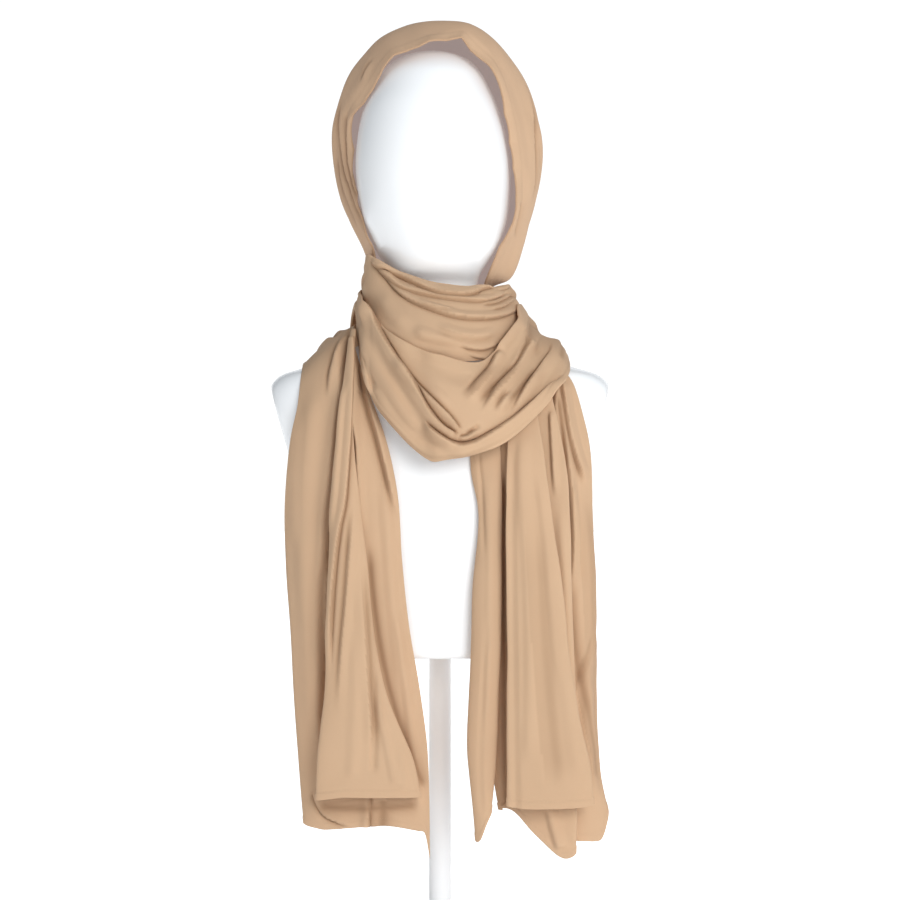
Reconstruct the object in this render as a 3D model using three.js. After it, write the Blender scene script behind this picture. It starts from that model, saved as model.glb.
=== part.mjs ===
// Hijab headscarf draped on a limbless head and shoulders dress form with a pole and a round base.
// Millimetres, +Z up, the face looks along -Y, +X is to the right of someone looking at the face.
// The origin is the centre of the underside of the base.

import * as THREE from "three";

// Front outlines are given as they are seen from this eye point: "across" and "height" are read
// in the plane of the axis, and a point moved forward or back by "depth" slides on its sight line.
const eyeAcross = 10;
const eyeHeight = 490;
const eyeDistance = 2400;

const clothWall = 1.6;
const foldedEdgeWall = 2.8;
const foldedEdgeWidth = 16;

const baseRadius = 135;
const baseThickness = 12;
const baseEdge = 3;
const poleRadius = 11;
const collarRadius = 19;
const collarHeight = 14;
const seamGap = 0.3;

// Small helpers.

function fromFront(across, height, depth) {
  const spread = (eyeDistance + depth) / eyeDistance;
  const x = eyeAcross + (across - eyeAcross) * spread;
  const z = eyeHeight + (height - eyeHeight) * spread;
  return new THREE.Vector3(x, depth, z);
}

function smoothStep(low, high, value) {
  const share = Math.min(Math.max((value - low) / (high - low), 0), 1);
  return share * share * (3 - 2 * share);
}

// Value of a list at a fractional place, on a smooth curve through its entries.
function alongList(list, place, closed) {
  const count = list.length;
  const last = closed ? count : count - 1;
  const start = closed ? Math.floor(place) : Math.min(Math.floor(place), last - 1);
  const share = place - start;
  const pick = (index) => {
    if (closed) {
      return list[((index % count) + count) % count];
    }
    return list[Math.min(Math.max(index, 0), count - 1)];
  };
  const before = pick(start - 1);
  const here = pick(start);
  const next = pick(start + 1);
  const after = pick(start + 2);
  const square = share * share;
  const cube = square * share;
  const steady = 2 * here;
  const linear = (next - before) * share;
  const quadratic = (2 * before - 5 * here + 4 * next - after) * square;
  const cubic = (3 * here - before - 3 * next + after) * cube;
  return 0.5 * (steady + linear + quadratic + cubic);
}

function alongPoints(points, place, closed) {
  return new THREE.Vector3(
    alongList(points.map((point) => point.x), place, closed),
    alongList(points.map((point) => point.y), place, closed),
    alongList(points.map((point) => point.z), place, closed),
  );
}

// Grid of points on a sheet: rails run along it, each rail has the same number of stations.
function gridOnRails(rails, alongSteps, acrossSteps, closed) {
  const stations = rails[0].length;
  const alongSpan = closed ? stations : stations - 1;
  const rowCount = closed ? alongSteps : alongSteps + 1;
  const grid = [];
  for (let row = 0; row < rowCount; row += 1) {
    const place = (row / alongSteps) * alongSpan;
    const crossing = rails.map((rail) => alongPoints(rail, place, closed));
    const line = [];
    for (let column = 0; column <= acrossSteps; column += 1) {
      const acrossPlace = (column / acrossSteps) * (rails.length - 1);
      line.push(alongPoints(crossing, acrossPlace, false));
    }
    grid.push(line);
  }
  return grid;
}

function gridNormals(grid, closed) {
  const rowCount = grid.length;
  const columnCount = grid[0].length;
  return grid.map((line, row) => line.map((point, column) => {
    let above = Math.max(row - 1, 0);
    let below = Math.min(row + 1, rowCount - 1);
    if (closed) {
      above = (row - 1 + rowCount) % rowCount;
      below = (row + 1) % rowCount;
    }
    const left = Math.max(column - 1, 0);
    const right = Math.min(column + 1, columnCount - 1);
    const down = new THREE.Vector3().subVectors(grid[below][column], grid[above][column]);
    const over = new THREE.Vector3().subVectors(grid[row][right], grid[row][left]);
    const normal = new THREE.Vector3().crossVectors(down, over);
    if (normal.length() < 1e-6) {
      return new THREE.Vector3(0, 1, 0);
    }
    return normal.normalize();
  }));
}

// Folds.
// A fold is a soft ridge (rise above 0) or trough (rise below 0) along a bowed line that is drawn
// in one view. "wide" is its reach on the left of the line's direction, "steep" on the right.

const viewDirections = {
  front: new THREE.Vector3(0, -1, 0),
  back: new THREE.Vector3(0, 1, 0),
  left: new THREE.Vector3(-1, 0, 0),
  right: new THREE.Vector3(1, 0, 0),
};

function placeInView(point, view) {
  if (view === "front") {
    const spread = (eyeDistance + point.y) / eyeDistance;
    return {
      x: eyeAcross + (point.x - eyeAcross) / spread,
      z: eyeHeight + (point.z - eyeHeight) / spread,
    };
  }
  if (view === "back") {
    return { x: point.x, z: point.z };
  }
  return { x: point.y, z: point.z };
}

function foldRise(fold, point, normal) {
  const facing = normal.dot(viewDirections[fold.view]);
  const seen = smoothStep(0.05, 0.4, facing);
  if (seen === 0) {
    return 0;
  }
  const spot = placeInView(point, fold.view);
  const pieces = 16;
  let nearest = Infinity;
  let side = 0;
  let share = 0;
  let lastX = fold.x1;
  let lastZ = fold.z1;
  for (let piece = 1; piece <= pieces; piece += 1) {
    const t = piece / pieces;
    const one = (1 - t) * (1 - t);
    const two = 2 * t * (1 - t);
    const three = t * t;
    const x = one * fold.x1 + two * fold.x2 + three * fold.x3;
    const z = one * fold.z1 + two * fold.z2 + three * fold.z3;
    const runX = x - lastX;
    const runZ = z - lastZ;
    const length2 = runX * runX + runZ * runZ;
    const offX = spot.x - lastX;
    const offZ = spot.z - lastZ;
    const along = Math.min(Math.max((offX * runX + offZ * runZ) / length2, 0), 1);
    const gapX = offX - along * runX;
    const gapZ = offZ - along * runZ;
    const gap = Math.hypot(gapX, gapZ);
    if (gap < nearest) {
      nearest = gap;
      side = runX * offZ - runZ * offX;
      share = (piece - 1 + along) / pieces;
    }
    lastX = x;
    lastZ = z;
  }
  const reach = side > 0 ? fold.wide : fold.steep;
  if (nearest >= reach) {
    return 0;
  }
  const taper = smoothStep(0, 0.25, share + 0.05) * smoothStep(0, 0.25, 1.05 - share);
  return fold.rise * seen * taper * 0.5 * (1 + Math.cos((Math.PI * nearest) / reach));
}

function creaseGrid(grid, folds, closed, outward) {
  const normals = gridNormals(grid, closed);
  return grid.map((line, row) => line.map((point, column) => {
    const normal = normals[row][column].clone().multiplyScalar(outward);
    let rise = 0;
    for (const fold of folds) {
      rise += foldRise(fold, point, normal);
    }
    return point.clone().addScaledVector(normal, rise);
  }));
}

// Closed bodies.

function bodyFrom(corners, faces) {
  const geometry = new THREE.BufferGeometry();
  const positions = corners.flatMap((corner) => [corner.x, corner.y, corner.z]);
  geometry.setAttribute("position", new THREE.Float32BufferAttribute(positions, 3));
  let volume = 0;
  for (const face of faces) {
    const a = corners[face[0]];
    const b = corners[face[1]];
    const c = corners[face[2]];
    volume += a.dot(new THREE.Vector3().crossVectors(b, c)) / 6;
  }
  const indices = faces.flatMap((face) => (volume > 0 ? face : [face[0], face[2], face[1]]));
  geometry.setIndex(indices);
  geometry.computeVertexNormals();
  return geometry;
}

// Wall of even thickness on a grid. "closed" joins the last row to the first, "pole" draws the
// last column together in one point, and the first column can be a folded, thicker edge.
function wallOn(grid, options) {
  const closed = options.closed === true;
  const pole = options.pole === true;
  const rowCount = grid.length;
  const columnCount = grid[0].length;
  const normals = gridNormals(grid, closed);
  const corners = [];
  const numbers = { outer: [], inner: [] };
  const poleNumbers = {};
  for (const side of ["outer", "inner"]) {
    const sign = side === "outer" ? 1 : -1;
    for (let row = 0; row < rowCount; row += 1) {
      const line = [];
      let fromEdge = 0;
      for (let column = 0; column < columnCount; column += 1) {
        if (column > 0) {
          fromEdge += grid[row][column].distanceTo(grid[row][column - 1]);
        }
        if (pole && column === columnCount - 1) {
          if (poleNumbers[side] === undefined) {
            const tip = grid[row][column].clone();
            tip.y += (clothWall / 2) * sign * options.outward * options.poleSign;
            poleNumbers[side] = corners.length;
            corners.push(tip);
          }
          line.push(poleNumbers[side]);
        } else {
          let wall = clothWall;
          if (options.foldedEdge) {
            const share = 1 - smoothStep(foldedEdgeWidth * 0.6, foldedEdgeWidth, fromEdge);
            wall += (foldedEdgeWall - clothWall) * share;
          }
          const move = (wall / 2) * sign * options.outward;
          line.push(corners.length);
          corners.push(grid[row][column].clone().addScaledVector(normals[row][column], move));
        }
      }
      numbers[side].push(line);
    }
  }
  const faces = [];
  const addFace = (a, b, c) => {
    if (a !== b && b !== c && a !== c) {
      faces.push([a, b, c]);
    }
  };
  const addPatch = (a, b, c, d) => {
    addFace(a, b, c);
    addFace(a, c, d);
  };
  const lastRow = closed ? rowCount : rowCount - 1;
  for (let row = 0; row < lastRow; row += 1) {
    const next = (row + 1) % rowCount;
    for (let column = 0; column < columnCount - 1; column += 1) {
      const o = numbers.outer;
      const n = numbers.inner;
      addPatch(o[row][column], o[next][column], o[next][column + 1], o[row][column + 1]);
      addPatch(n[row][column], n[row][column + 1], n[next][column + 1], n[next][column]);
    }
    const edge = columnCount - 1;
    addPatch(numbers.outer[row][0], numbers.inner[row][0],
      numbers.inner[next][0], numbers.outer[next][0]);
    if (!pole) {
      addPatch(numbers.outer[row][edge], numbers.outer[next][edge],
        numbers.inner[next][edge], numbers.inner[row][edge]);
    }
  }
  if (!closed) {
    const bottom = rowCount - 1;
    for (let column = 0; column < columnCount - 1; column += 1) {
      addPatch(numbers.outer[0][column], numbers.outer[0][column + 1],
        numbers.inner[0][column + 1], numbers.inner[0][column]);
      addPatch(numbers.outer[bottom][column], numbers.inner[bottom][column],
        numbers.inner[bottom][column + 1], numbers.outer[bottom][column + 1]);
    }
  }
  return bodyFrom(corners, faces);
}

const group = new THREE.Group();
group.name = "hijab_headscarf_on_dress_form";

function addPart(name, geometry, color, roughness) {
  const material = new THREE.MeshStandardMaterial({ color, roughness, metalness: 0 });
  const mesh = new THREE.Mesh(geometry, material);
  mesh.name = name;
  group.add(mesh);
}

const clothColor = 0xccaa88;
const formColor = 0xf4f4f2;

// Dress form: egg head, neck, shoulders with flat arm ends, torso down to its lower edge.

const formRows = [
  { height: 890, middle: -8, half: 5, front: 4, back: 14, square: 2 },
  { height: 887, middle: -8, half: 21, front: -13, back: 31, square: 2 },
  { height: 880, middle: -8, half: 38, front: -33, back: 54, square: 2 },
  { height: 867, middle: -9, half: 51, front: -53, back: 73, square: 2 },
  { height: 850, middle: -9, half: 60, front: -66, back: 86, square: 2 },
  { height: 829, middle: -9, half: 69, front: -78, back: 97, square: 2 },
  { height: 802, middle: -8, half: 75, front: -88, back: 104, square: 2 },
  { height: 772, middle: -7, half: 78, front: -93, back: 107, square: 2 },
  { height: 742, middle: -6, half: 76, front: -91, back: 101, square: 2 },
  { height: 714, middle: -5, half: 71, front: -86, back: 90, square: 2 },
  { height: 692, middle: -4, half: 62, front: -79, back: 77, square: 2 },
  { height: 676, middle: -5, half: 52, front: -71, back: 67, square: 2 },
  { height: 665, middle: -7, half: 47, front: -60, back: 62, square: 2 },
  { height: 655, middle: -8, half: 45.5, front: -42, back: 60, square: 2 },
  { height: 640, middle: -8, half: 45, front: -37, back: 60, square: 2 },
  { height: 624, middle: -6, half: 49, front: -40, back: 62, square: 2 },
  { height: 608, middle: -3, half: 62, front: -47, back: 68, square: 2.1 },
  { height: 594, middle: -1, half: 82, front: -54, back: 73, square: 2.2 },
  { height: 583, middle: 0, half: 104, front: -60, back: 78, square: 2.3 },
  { height: 575, middle: 0, half: 124, front: -64, back: 81, square: 2.4 },
  { height: 570, middle: 0, half: 143, front: -68, back: 83, square: 2.5 },
  { height: 563, middle: 0, half: 161, front: -71, back: 85, square: 2.6 },
  { height: 548, middle: 0, half: 172, front: -76, back: 86, square: 2.6 },
  { height: 525, middle: 0, half: 172, front: -82, back: 87, square: 2.6 },
  { height: 490, middle: 0, half: 160, front: -88, back: 87, square: 2.5 },
  { height: 440, middle: 0, half: 144, front: -90, back: 85, square: 2.4 },
  { height: 380, middle: 0, half: 134, front: -87, back: 81, square: 2.3 },
  { height: 325, middle: 0, half: 128, front: -82, back: 78, square: 2.3 },
  { height: 288, middle: 0, half: 125, front: -79, back: 77, square: 2.3 },
];
const armEndTop = { height: 556, half: 169 };
const armEndLow = { height: 490, half: 150 };
const formStepsAround = 40;

function armEndAt(height) {
  const slope = (armEndTop.half - armEndLow.half) / (armEndTop.height - armEndLow.height);
  return armEndLow.half + (height - armEndLow.height) * slope;
}

function formPoint(place, turn) {
  const at = (column) => alongList(formRows.map((row) => row[column]), place, false);
  const power = 2 / at("square");
  const sine = Math.sin(turn);
  const cosine = Math.cos(turn);
  const height = at("height");
  const half = at("half");
  const semi = (at("back") - at("front")) / 2;
  const centre = (at("back") + at("front")) / 2;
  const side = Math.sign(sine) * Math.abs(sine) ** power * half;
  const limit = height < 575 && height > 460 ? armEndAt(height) : Infinity;
  const x = Math.min(Math.max(side, -limit), limit) + at("middle");
  const y = centre - Math.sign(cosine) * Math.abs(cosine) ** power * semi;
  return new THREE.Vector3(x, y, height);
}

function buildForm() {
  const rings = formRows.length - 1;
  const corners = [];
  const faces = [];
  for (let ring = 0; ring <= rings; ring += 1) {
    for (let step = 0; step < formStepsAround; step += 1) {
      const turn = (step / formStepsAround) * Math.PI * 2;
      corners.push(formPoint(ring, turn));
    }
  }
  const top = corners.length;
  corners.push(new THREE.Vector3(-8, 9, 890.6));
  const bottom = corners.length;
  corners.push(new THREE.Vector3(0, 0, formRows[formRows.length - 1].height));
  for (let step = 0; step < formStepsAround; step += 1) {
    const next = (step + 1) % formStepsAround;
    faces.push([top, next, step]);
    const low = rings * formStepsAround;
    faces.push([bottom, low + step, low + next]);
    for (let ring = 0; ring < rings; ring += 1) {
      const here = ring * formStepsAround;
      const under = here + formStepsAround;
      faces.push([here + step, here + next, under + next]);
      faces.push([here + step, under + next, under + step]);
    }
  }
  return bodyFrom(corners, faces);
}

addPart("form", buildForm(), formColor, 0.25);

// Stand: pole with a collar, round base.

const formUnderside = formRows[formRows.length - 1].height;
const polePlan = [
  [0, baseThickness + seamGap],
  [collarRadius, baseThickness + seamGap],
  [collarRadius, baseThickness + collarHeight],
  [poleRadius, baseThickness + collarHeight + 4],
  [poleRadius, formUnderside - seamGap],
  [0, formUnderside - seamGap],
];
const basePlan = [
  [0, 0],
  [baseRadius - baseEdge, 0],
  [baseRadius, baseEdge],
  [baseRadius, baseThickness - baseEdge],
  [baseRadius - baseEdge, baseThickness],
  [0, baseThickness],
];

function solidOfTurning(plan, segments) {
  const corners = [];
  const rings = [];
  for (const row of plan) {
    if (row[0] === 0) {
      rings.push([corners.length]);
      corners.push(new THREE.Vector3(0, 0, row[1]));
    } else {
      const ring = [];
      for (let step = 0; step < segments; step += 1) {
        const turn = (step / segments) * Math.PI * 2;
        ring.push(corners.length);
        corners.push(new THREE.Vector3(Math.cos(turn) * row[0], Math.sin(turn) * row[0], row[1]));
      }
      rings.push(ring);
    }
  }
  const faces = [];
  for (let level = 0; level < rings.length - 1; level += 1) {
    const low = rings[level];
    const high = rings[level + 1];
    for (let step = 0; step < segments; step += 1) {
      const next = (step + 1) % segments;
      if (low.length === 1) {
        faces.push([low[0], high[next], high[step]]);
      } else if (high.length === 1) {
        faces.push([low[step], low[next], high[0]]);
      } else {
        faces.push([low[step], low[next], high[next]]);
        faces.push([low[step], high[next], high[step]]);
      }
    }
  }
  return bodyFrom(corners, faces);
}

addPart("stand_pole", solidOfTurning(polePlan, 24), formColor, 0.3);
addPart("stand_base", solidOfTurning(basePlan, 64), formColor, 0.3);

// Hood: folded front edge round the face, over the crown, down to the nape.
// Rows go round from the crown over the right side, the nape and the left side.

const hoodRows = [
  { edgeX: -10, edgeZ: 899, edgeY: -52, outX: -6, outZ: 915, outY: 26 },
  { edgeX: 22, edgeZ: 903, edgeY: -45, outX: 31, outZ: 909, outY: 28 },
  { edgeX: 48, edgeZ: 880, edgeY: -40, outX: 60, outZ: 890, outY: 30 },
  { edgeX: 61, edgeZ: 843, edgeY: -36, outX: 86, outZ: 856, outY: 32 },
  { edgeX: 69, edgeZ: 798, edgeY: -28, outX: 100, outZ: 808, outY: 32 },
  { edgeX: 74, edgeZ: 756, edgeY: -28, outX: 99, outZ: 765, outY: 32 },
  { edgeX: 75, edgeZ: 728, edgeY: -28, outX: 91, outZ: 726, outY: 30 },
  { edgeX: 60, edgeZ: 692, edgeY: -26, outX: 80, outZ: 694, outY: 28 },
  { edgeX: 46, edgeZ: 660, edgeY: -12, outX: 62, outZ: 664, outY: 36 },
  { edgeX: 40, edgeZ: 646, edgeY: 40, outX: 50, outZ: 664, outY: 70 },
  { edgeX: -6, edgeZ: 640, edgeY: 70, outX: -4, outZ: 672, outY: 92 },
  { edgeX: -54, edgeZ: 646, edgeY: 42, outX: -60, outZ: 668, outY: 66 },
  { edgeX: -60, edgeZ: 662, edgeY: -2, outX: -69, outZ: 674, outY: 32 },
  { edgeX: -68, edgeZ: 695, edgeY: -26, outX: -77, outZ: 694, outY: 24 },
  { edgeX: -80, edgeZ: 728, edgeY: -18, outX: -93, outZ: 727, outY: 26 },
  { edgeX: -86, edgeZ: 765, edgeY: -8, outX: -103, outZ: 768, outY: 30 },
  { edgeX: -87, edgeZ: 812, edgeY: -8, outX: -105, outZ: 815, outY: 32 },
  { edgeX: -72, edgeZ: 847, edgeY: -28, outX: -93, outZ: 860, outY: 32 },
  { edgeX: -49, edgeZ: 883, edgeY: -46, outX: -66, outZ: 893, outY: 30 },
  { edgeX: -28, edgeZ: 892, edgeY: -50, outX: -36, outZ: 910, outY: 28 },
];
const hoodBackCentre = { x: -5, z: 782, y: 130 };
const hoodBackRings = [
  { share: 0.88, rise: 0.46 },
  { share: 0.62, rise: 0.8 },
  { share: 0.32, rise: 0.96 },
];

function hoodRails() {
  const edge = hoodRows.map((row) => fromFront(row.edgeX, row.edgeZ, row.edgeY));
  const outline = hoodRows.map((row) => fromFront(row.outX, row.outZ, row.outY));
  const middle = edge.map((point, index) => {
    const half = point.clone().lerp(outline[index], 0.5);
    const centre = new THREE.Vector3(hoodBackCentre.x, half.y, hoodBackCentre.z);
    const away = half.clone().sub(centre).normalize();
    const upper = smoothStep(690, 760, half.z);
    const crown = smoothStep(850, 900, half.z);
    return half.addScaledVector(away, 1.5 + 3.5 * upper + 5 * crown);
  });
  const rings = hoodBackRings.map((ring) => outline.map((point) => {
    const x = hoodBackCentre.x + (point.x - hoodBackCentre.x) * ring.share;
    const z = hoodBackCentre.z + (point.z - hoodBackCentre.z) * ring.share;
    const y = point.y + (hoodBackCentre.y - point.y) * ring.rise;
    return new THREE.Vector3(x, y, z);
  }));
  const tip = new THREE.Vector3(hoodBackCentre.x, hoodBackCentre.y, hoodBackCentre.z);
  return [edge, middle, outline, ...rings, outline.map(() => tip)];
}

const hoodFolds = [
  { view: "front", x1: -92, z1: 832, x2: -94, z2: 770, x3: -70, z3: 712, rise: 3, wide: 7, steep: 7 },
  { view: "front", x1: 93, z1: 842, x2: 99, z2: 796, x3: 92, z3: 752, rise: -3, wide: 8, steep: 8 },
  { view: "back", x1: -60, z1: 860, x2: -10, z2: 800, x3: 10, z3: 690, rise: 4, wide: 22, steep: 12 },
  { view: "back", x1: 62, z1: 850, x2: 40, z2: 780, x3: 22, z3: 680, rise: 4, wide: 12, steep: 20 },
  { view: "back", x1: -70, z1: 800, x2: -48, z2: 740, x3: -24, z3: 676, rise: 3, wide: 18, steep: 10 },
];

const hoodGrid = creaseGrid(gridOnRails(hoodRails(), 50, 15, true), hoodFolds, true, 1);
addPart("hood", wallOn(hoodGrid, { closed: true, pole: true, foldedEdge: true, outward: 1, poleSign: 1 }),
  clothColor, 0.85);

// Rings round the neck.
// Rails from the top edge down. Stations: front, right front, right side, right back, back and so on
// round to the left front, every 30 degrees.

const chinTop = [
  { x: -4, z: 659, y: -66 },
  { x: 32, z: 657, y: -56 },
  { x: 58, z: 657, y: -32 },
  { x: 70, z: 657, y: 10 },
  { x: 60, z: 652, y: 56 },
  { x: 34, z: 648, y: 86 },
  { x: -5, z: 650, y: 96 },
  { x: -42, z: 654, y: 88 },
  { x: -73, z: 668, y: 60 },
  { x: -73.2, z: 679, y: 8 },
  { x: -70, z: 684, y: -36 },
  { x: -40, z: 666, y: -56 },
];
const chinUpper = [
  { x: -4, z: 640, y: -84 },
  { x: 34, z: 640, y: -72 },
  { x: 64, z: 640, y: -36 },
  { x: 77, z: 640, y: 10 },
  { x: 66, z: 630, y: 64 },
  { x: 38, z: 628, y: 92 },
  { x: -5, z: 630, y: 102 },
  { x: -46, z: 634, y: 92 },
  { x: -70, z: 644, y: 62 },
  { x: -76, z: 649, y: 10 },
  { x: -72, z: 652, y: -44 },
  { x: -42, z: 648, y: -74 },
];
const chinLower = [
  { x: -2, z: 606, y: -105 },
  { x: 40, z: 604, y: -92 },
  { x: 74, z: 614, y: -44 },
  { x: 84, z: 618, y: 10 },
  { x: 74, z: 616, y: 68 },
  { x: 44, z: 611, y: 94 },
  { x: -4, z: 612, y: 102 },
  { x: -50, z: 616, y: 94 },
  { x: -73, z: 630, y: 64 },
  { x: -75, z: 624, y: 10 },
  { x: -73, z: 618, y: -48 },
  { x: -46, z: 612, y: -89 },
];
const chinBottom = [
  { x: 0, z: 580, y: -99 },
  { x: 40, z: 580, y: -88 },
  { x: 72, z: 592, y: -46 },
  { x: 82, z: 604, y: 8 },
  { x: 76, z: 603, y: 70 },
  { x: 44, z: 598, y: 91 },
  { x: -4, z: 598, y: 99 },
  { x: -50, z: 602, y: 92 },
  { x: -73, z: 614, y: 68 },
  { x: -74, z: 606, y: 10 },
  { x: -70, z: 598, y: -50 },
  { x: -42, z: 586, y: -87 },
];

const chinFolds = [
  { view: "front", x1: -60, z1: 671, x2: 0, z2: 630, x3: 68, z3: 658, rise: 3, wide: 7, steep: 12 },
  { view: "front", x1: -54, z1: 659, x2: 0, z2: 606, x3: 79, z3: 633, rise: 3, wide: 8, steep: 14 },
  { view: "back", x1: -60, z1: 640, x2: 0, z2: 622, x3: 60, z3: 636, rise: 3, wide: 8, steep: 14 },
];

const pointFrom = (row) => fromFront(row.x, row.z, row.y);
const railsFrom = (...rails) => rails.map((rail) => rail.map(pointFrom));

const chinGrid = creaseGrid(
  gridOnRails(railsFrom(chinTop, chinUpper, chinLower, chinBottom), 44, 8, true),
  chinFolds, true, -1);
addPart("chin_wrap", wallOn(chinGrid, { closed: true, foldedEdge: true, outward: -1 }), clothColor, 0.85);

const cowlTop = [
  { x: 0, z: 586, y: -108 },
  { x: 42, z: 580, y: -98 },
  { x: 78, z: 618, y: -56 },
  { x: 82, z: 637, y: -26 },
  { x: 83, z: 641, y: 6 },
  { x: 80, z: 636, y: 66 },
  { x: 46, z: 630, y: 101 },
  { x: -4, z: 626, y: 114 },
  { x: -52, z: 632, y: 102 },
  { x: -78, z: 642, y: 68 },
  { x: -79.6, z: 646, y: 12 },
  { x: -77, z: 634, y: -54 },
  { x: -46, z: 604, y: -94 },
];
const cowlBelly = [
  { x: 6, z: 545, y: -124 },
  { x: 50, z: 552, y: -112 },
  { x: 90, z: 584, y: -66 },
  { x: 102, z: 602, y: -36 },
  { x: 106, z: 612, y: 8 },
  { x: 96, z: 606, y: 74 },
  { x: 54, z: 594, y: 108 },
  { x: -4, z: 588, y: 118 },
  { x: -56, z: 596, y: 108 },
  { x: -82, z: 620, y: 74 },
  { x: -82, z: 640, y: 13 },
  { x: -80, z: 606, y: -68 },
  { x: -47, z: 562, y: -104 },
];
const cowlLow = [
  { x: 8, z: 505, y: -130 },
  { x: 57, z: 519, y: -121 },
  { x: 99, z: 552, y: -88 },
  { x: 119, z: 586, y: -52 },
  { x: 119, z: 598, y: 8 },
  { x: 108, z: 582, y: 90 },
  { x: 60, z: 560, y: 111 },
  { x: -4, z: 552, y: 116 },
  { x: -60, z: 566, y: 111 },
  { x: -86, z: 602, y: 82 },
  { x: -84, z: 636, y: 14 },
  { x: -79, z: 582, y: -80 },
  { x: -49, z: 536, y: -110 },
];
const cowlBottom = [
  { x: 8, z: 482, y: -124 },
  { x: 60, z: 496, y: -119 },
  { x: 102, z: 531, y: -99 },
  { x: 126, z: 562, y: -77 },
  { x: 127, z: 579, y: 8 },
  { x: 114, z: 558, y: 94 },
  { x: 62, z: 538, y: 110 },
  { x: -4, z: 528, y: 108 },
  { x: -62, z: 546, y: 108 },
  { x: -88, z: 590, y: 84 },
  { x: -84, z: 631, y: 14 },
  { x: -76, z: 562, y: -84 },
  { x: -48, z: 516, y: -108 },
];

const cowlFolds = [
  { view: "front", x1: -73, z1: 641, x2: -60, z2: 540, x3: 19, z3: 503, rise: 5, wide: 10, steep: 18 },
  { view: "front", x1: -36, z1: 567, x2: -10, z2: 520, x3: 20, z3: 510, rise: -4, wide: 9, steep: 9 },
  { view: "front", x1: 79, z1: 625, x2: 60, z2: 570, x3: 27, z3: 541, rise: 5, wide: 16, steep: 9 },
  { view: "front", x1: 93, z1: 612, x2: 88, z2: 560, x3: 44, z3: 529, rise: -4, wide: 8, steep: 8 },
  { view: "front", x1: 114, z1: 600, x2: 104, z2: 560, x3: 76, z3: 537, rise: 4, wide: 14, steep: 9 },
  { view: "back", x1: -70, z1: 610, x2: 0, z2: 560, x3: 80, z3: 600, rise: 5, wide: 10, steep: 18 },
];

const cowlGrid = creaseGrid(
  gridOnRails(railsFrom(cowlTop, cowlBelly, cowlLow, cowlBottom), 48, 10, true),
  cowlFolds, true, -1);
addPart("cowl", wallOn(cowlGrid, { closed: true, foldedEdge: true, outward: -1 }), clothColor, 0.85);

// Tails.
// Each row is one level of a tail, from behind the shoulder over its ridge and down the front.
// The two side edges are given, the middle line bulges forward from between them.

const tailTurnLeast = 2.5;
const tailTurnStart = 430;
const tailTurnFull = 350;

function tailRails(rows, turns) {
  const outer = rows.map((row) => fromFront(row.outX, row.outZ, row.outY));
  const inner = rows.map((row) => fromFront(row.inX, row.inZ, row.inY));
  const turnedIn = (edge, other, deep) => rows.map((row, index) => {
    const away = other[index].clone().sub(edge[index]).normalize();
    const grown = 1 - smoothStep(tailTurnFull, tailTurnStart, edge[index].z);
    const depth = tailTurnLeast + (deep - tailTurnLeast) * grown;
    const point = edge[index].clone().addScaledVector(away, 0.45 * depth);
    point.y += depth;
    return point;
  });
  const share = (part) => rows.map((row, index) => {
    const point = outer[index].clone().lerp(inner[index], part);
    point.y -= row.bulge;
    point.z += row.lift || 0;
    return point;
  });
  const rails = [outer, share(0.3), share(0.7), inner];
  if (turns.outer > 0) {
    rails.unshift(turnedIn(outer, inner, turns.outer));
  }
  if (turns.inner > 0) {
    rails.push(turnedIn(inner, outer, turns.inner));
  }
  return rails;
}

// Moves the last level of a tail to the shape of its hem.
function shapeHem(grid, hem, blend) {
  const columnCount = grid[0].length;
  const last = grid.length - 1;
  return grid.map((line, row) => line.map((point, column) => {
    const place = (column / (columnCount - 1)) * (hem.length - 1);
    const start = Math.min(Math.floor(place), hem.length - 2);
    const drop = hem[start] + (hem[start + 1] - hem[start]) * (place - start);
    const share = smoothStep(1 - blend, 1, row / last);
    const moved = point.clone();
    moved.z -= drop * share;
    return moved;
  }));
}

const leftBackRows = [
  { outX: -64, outZ: 554, outY: 96, inX: -54, inZ: 588, inY: 90, bulge: -2 },
  { outX: -98, outZ: 556, outY: 90, inX: -71, inZ: 594, inY: 76, bulge: -4 },
  { outX: -128, outZ: 571, outY: 52, inX: -80, inZ: 600, inY: 44, bulge: -3, lift: 5 },
  { outX: -137, outZ: 577, outY: 6, inX: -85, inZ: 608, inY: 6, bulge: 0, lift: 4 },
  { outX: -138, outZ: 572, outY: -42.5, inX: -85, inZ: 589, inY: -50, bulge: 0, lift: 4 },
  { outX: -141, outZ: 534, outY: -66, inX: -74, inZ: 556, inY: -74, bulge: 5, lift: 2 },
  { outX: -149, outZ: 485, outY: -74, inX: -54, inZ: 500, inY: -91, bulge: 10 },
  { outX: -153, outZ: 430, outY: -72, inX: -42, inZ: 440, inY: -96, bulge: 12 },
  { outX: -153, outZ: 375, outY: -72, inX: -38, inZ: 380, inY: -96, bulge: 12 },
  { outX: -149, outZ: 315, outY: -72, inX: -31, inZ: 315, inY: -92, bulge: 11 },
  { outX: -146, outZ: 255, outY: -72, inX: -21, inZ: 255, inY: -88, bulge: 10 },
  { outX: -141, outZ: 185, outY: -70, inX: -12, inZ: 185, inY: -84, bulge: 10 },
  { outX: -135, outZ: 119, outY: -70, inX: -10, inZ: 112, inY: -82, bulge: 10 },
];
const leftBackHem = [0, 0, 1, 4, 6, 4, 1, -1, 0, 4, 30];
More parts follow.
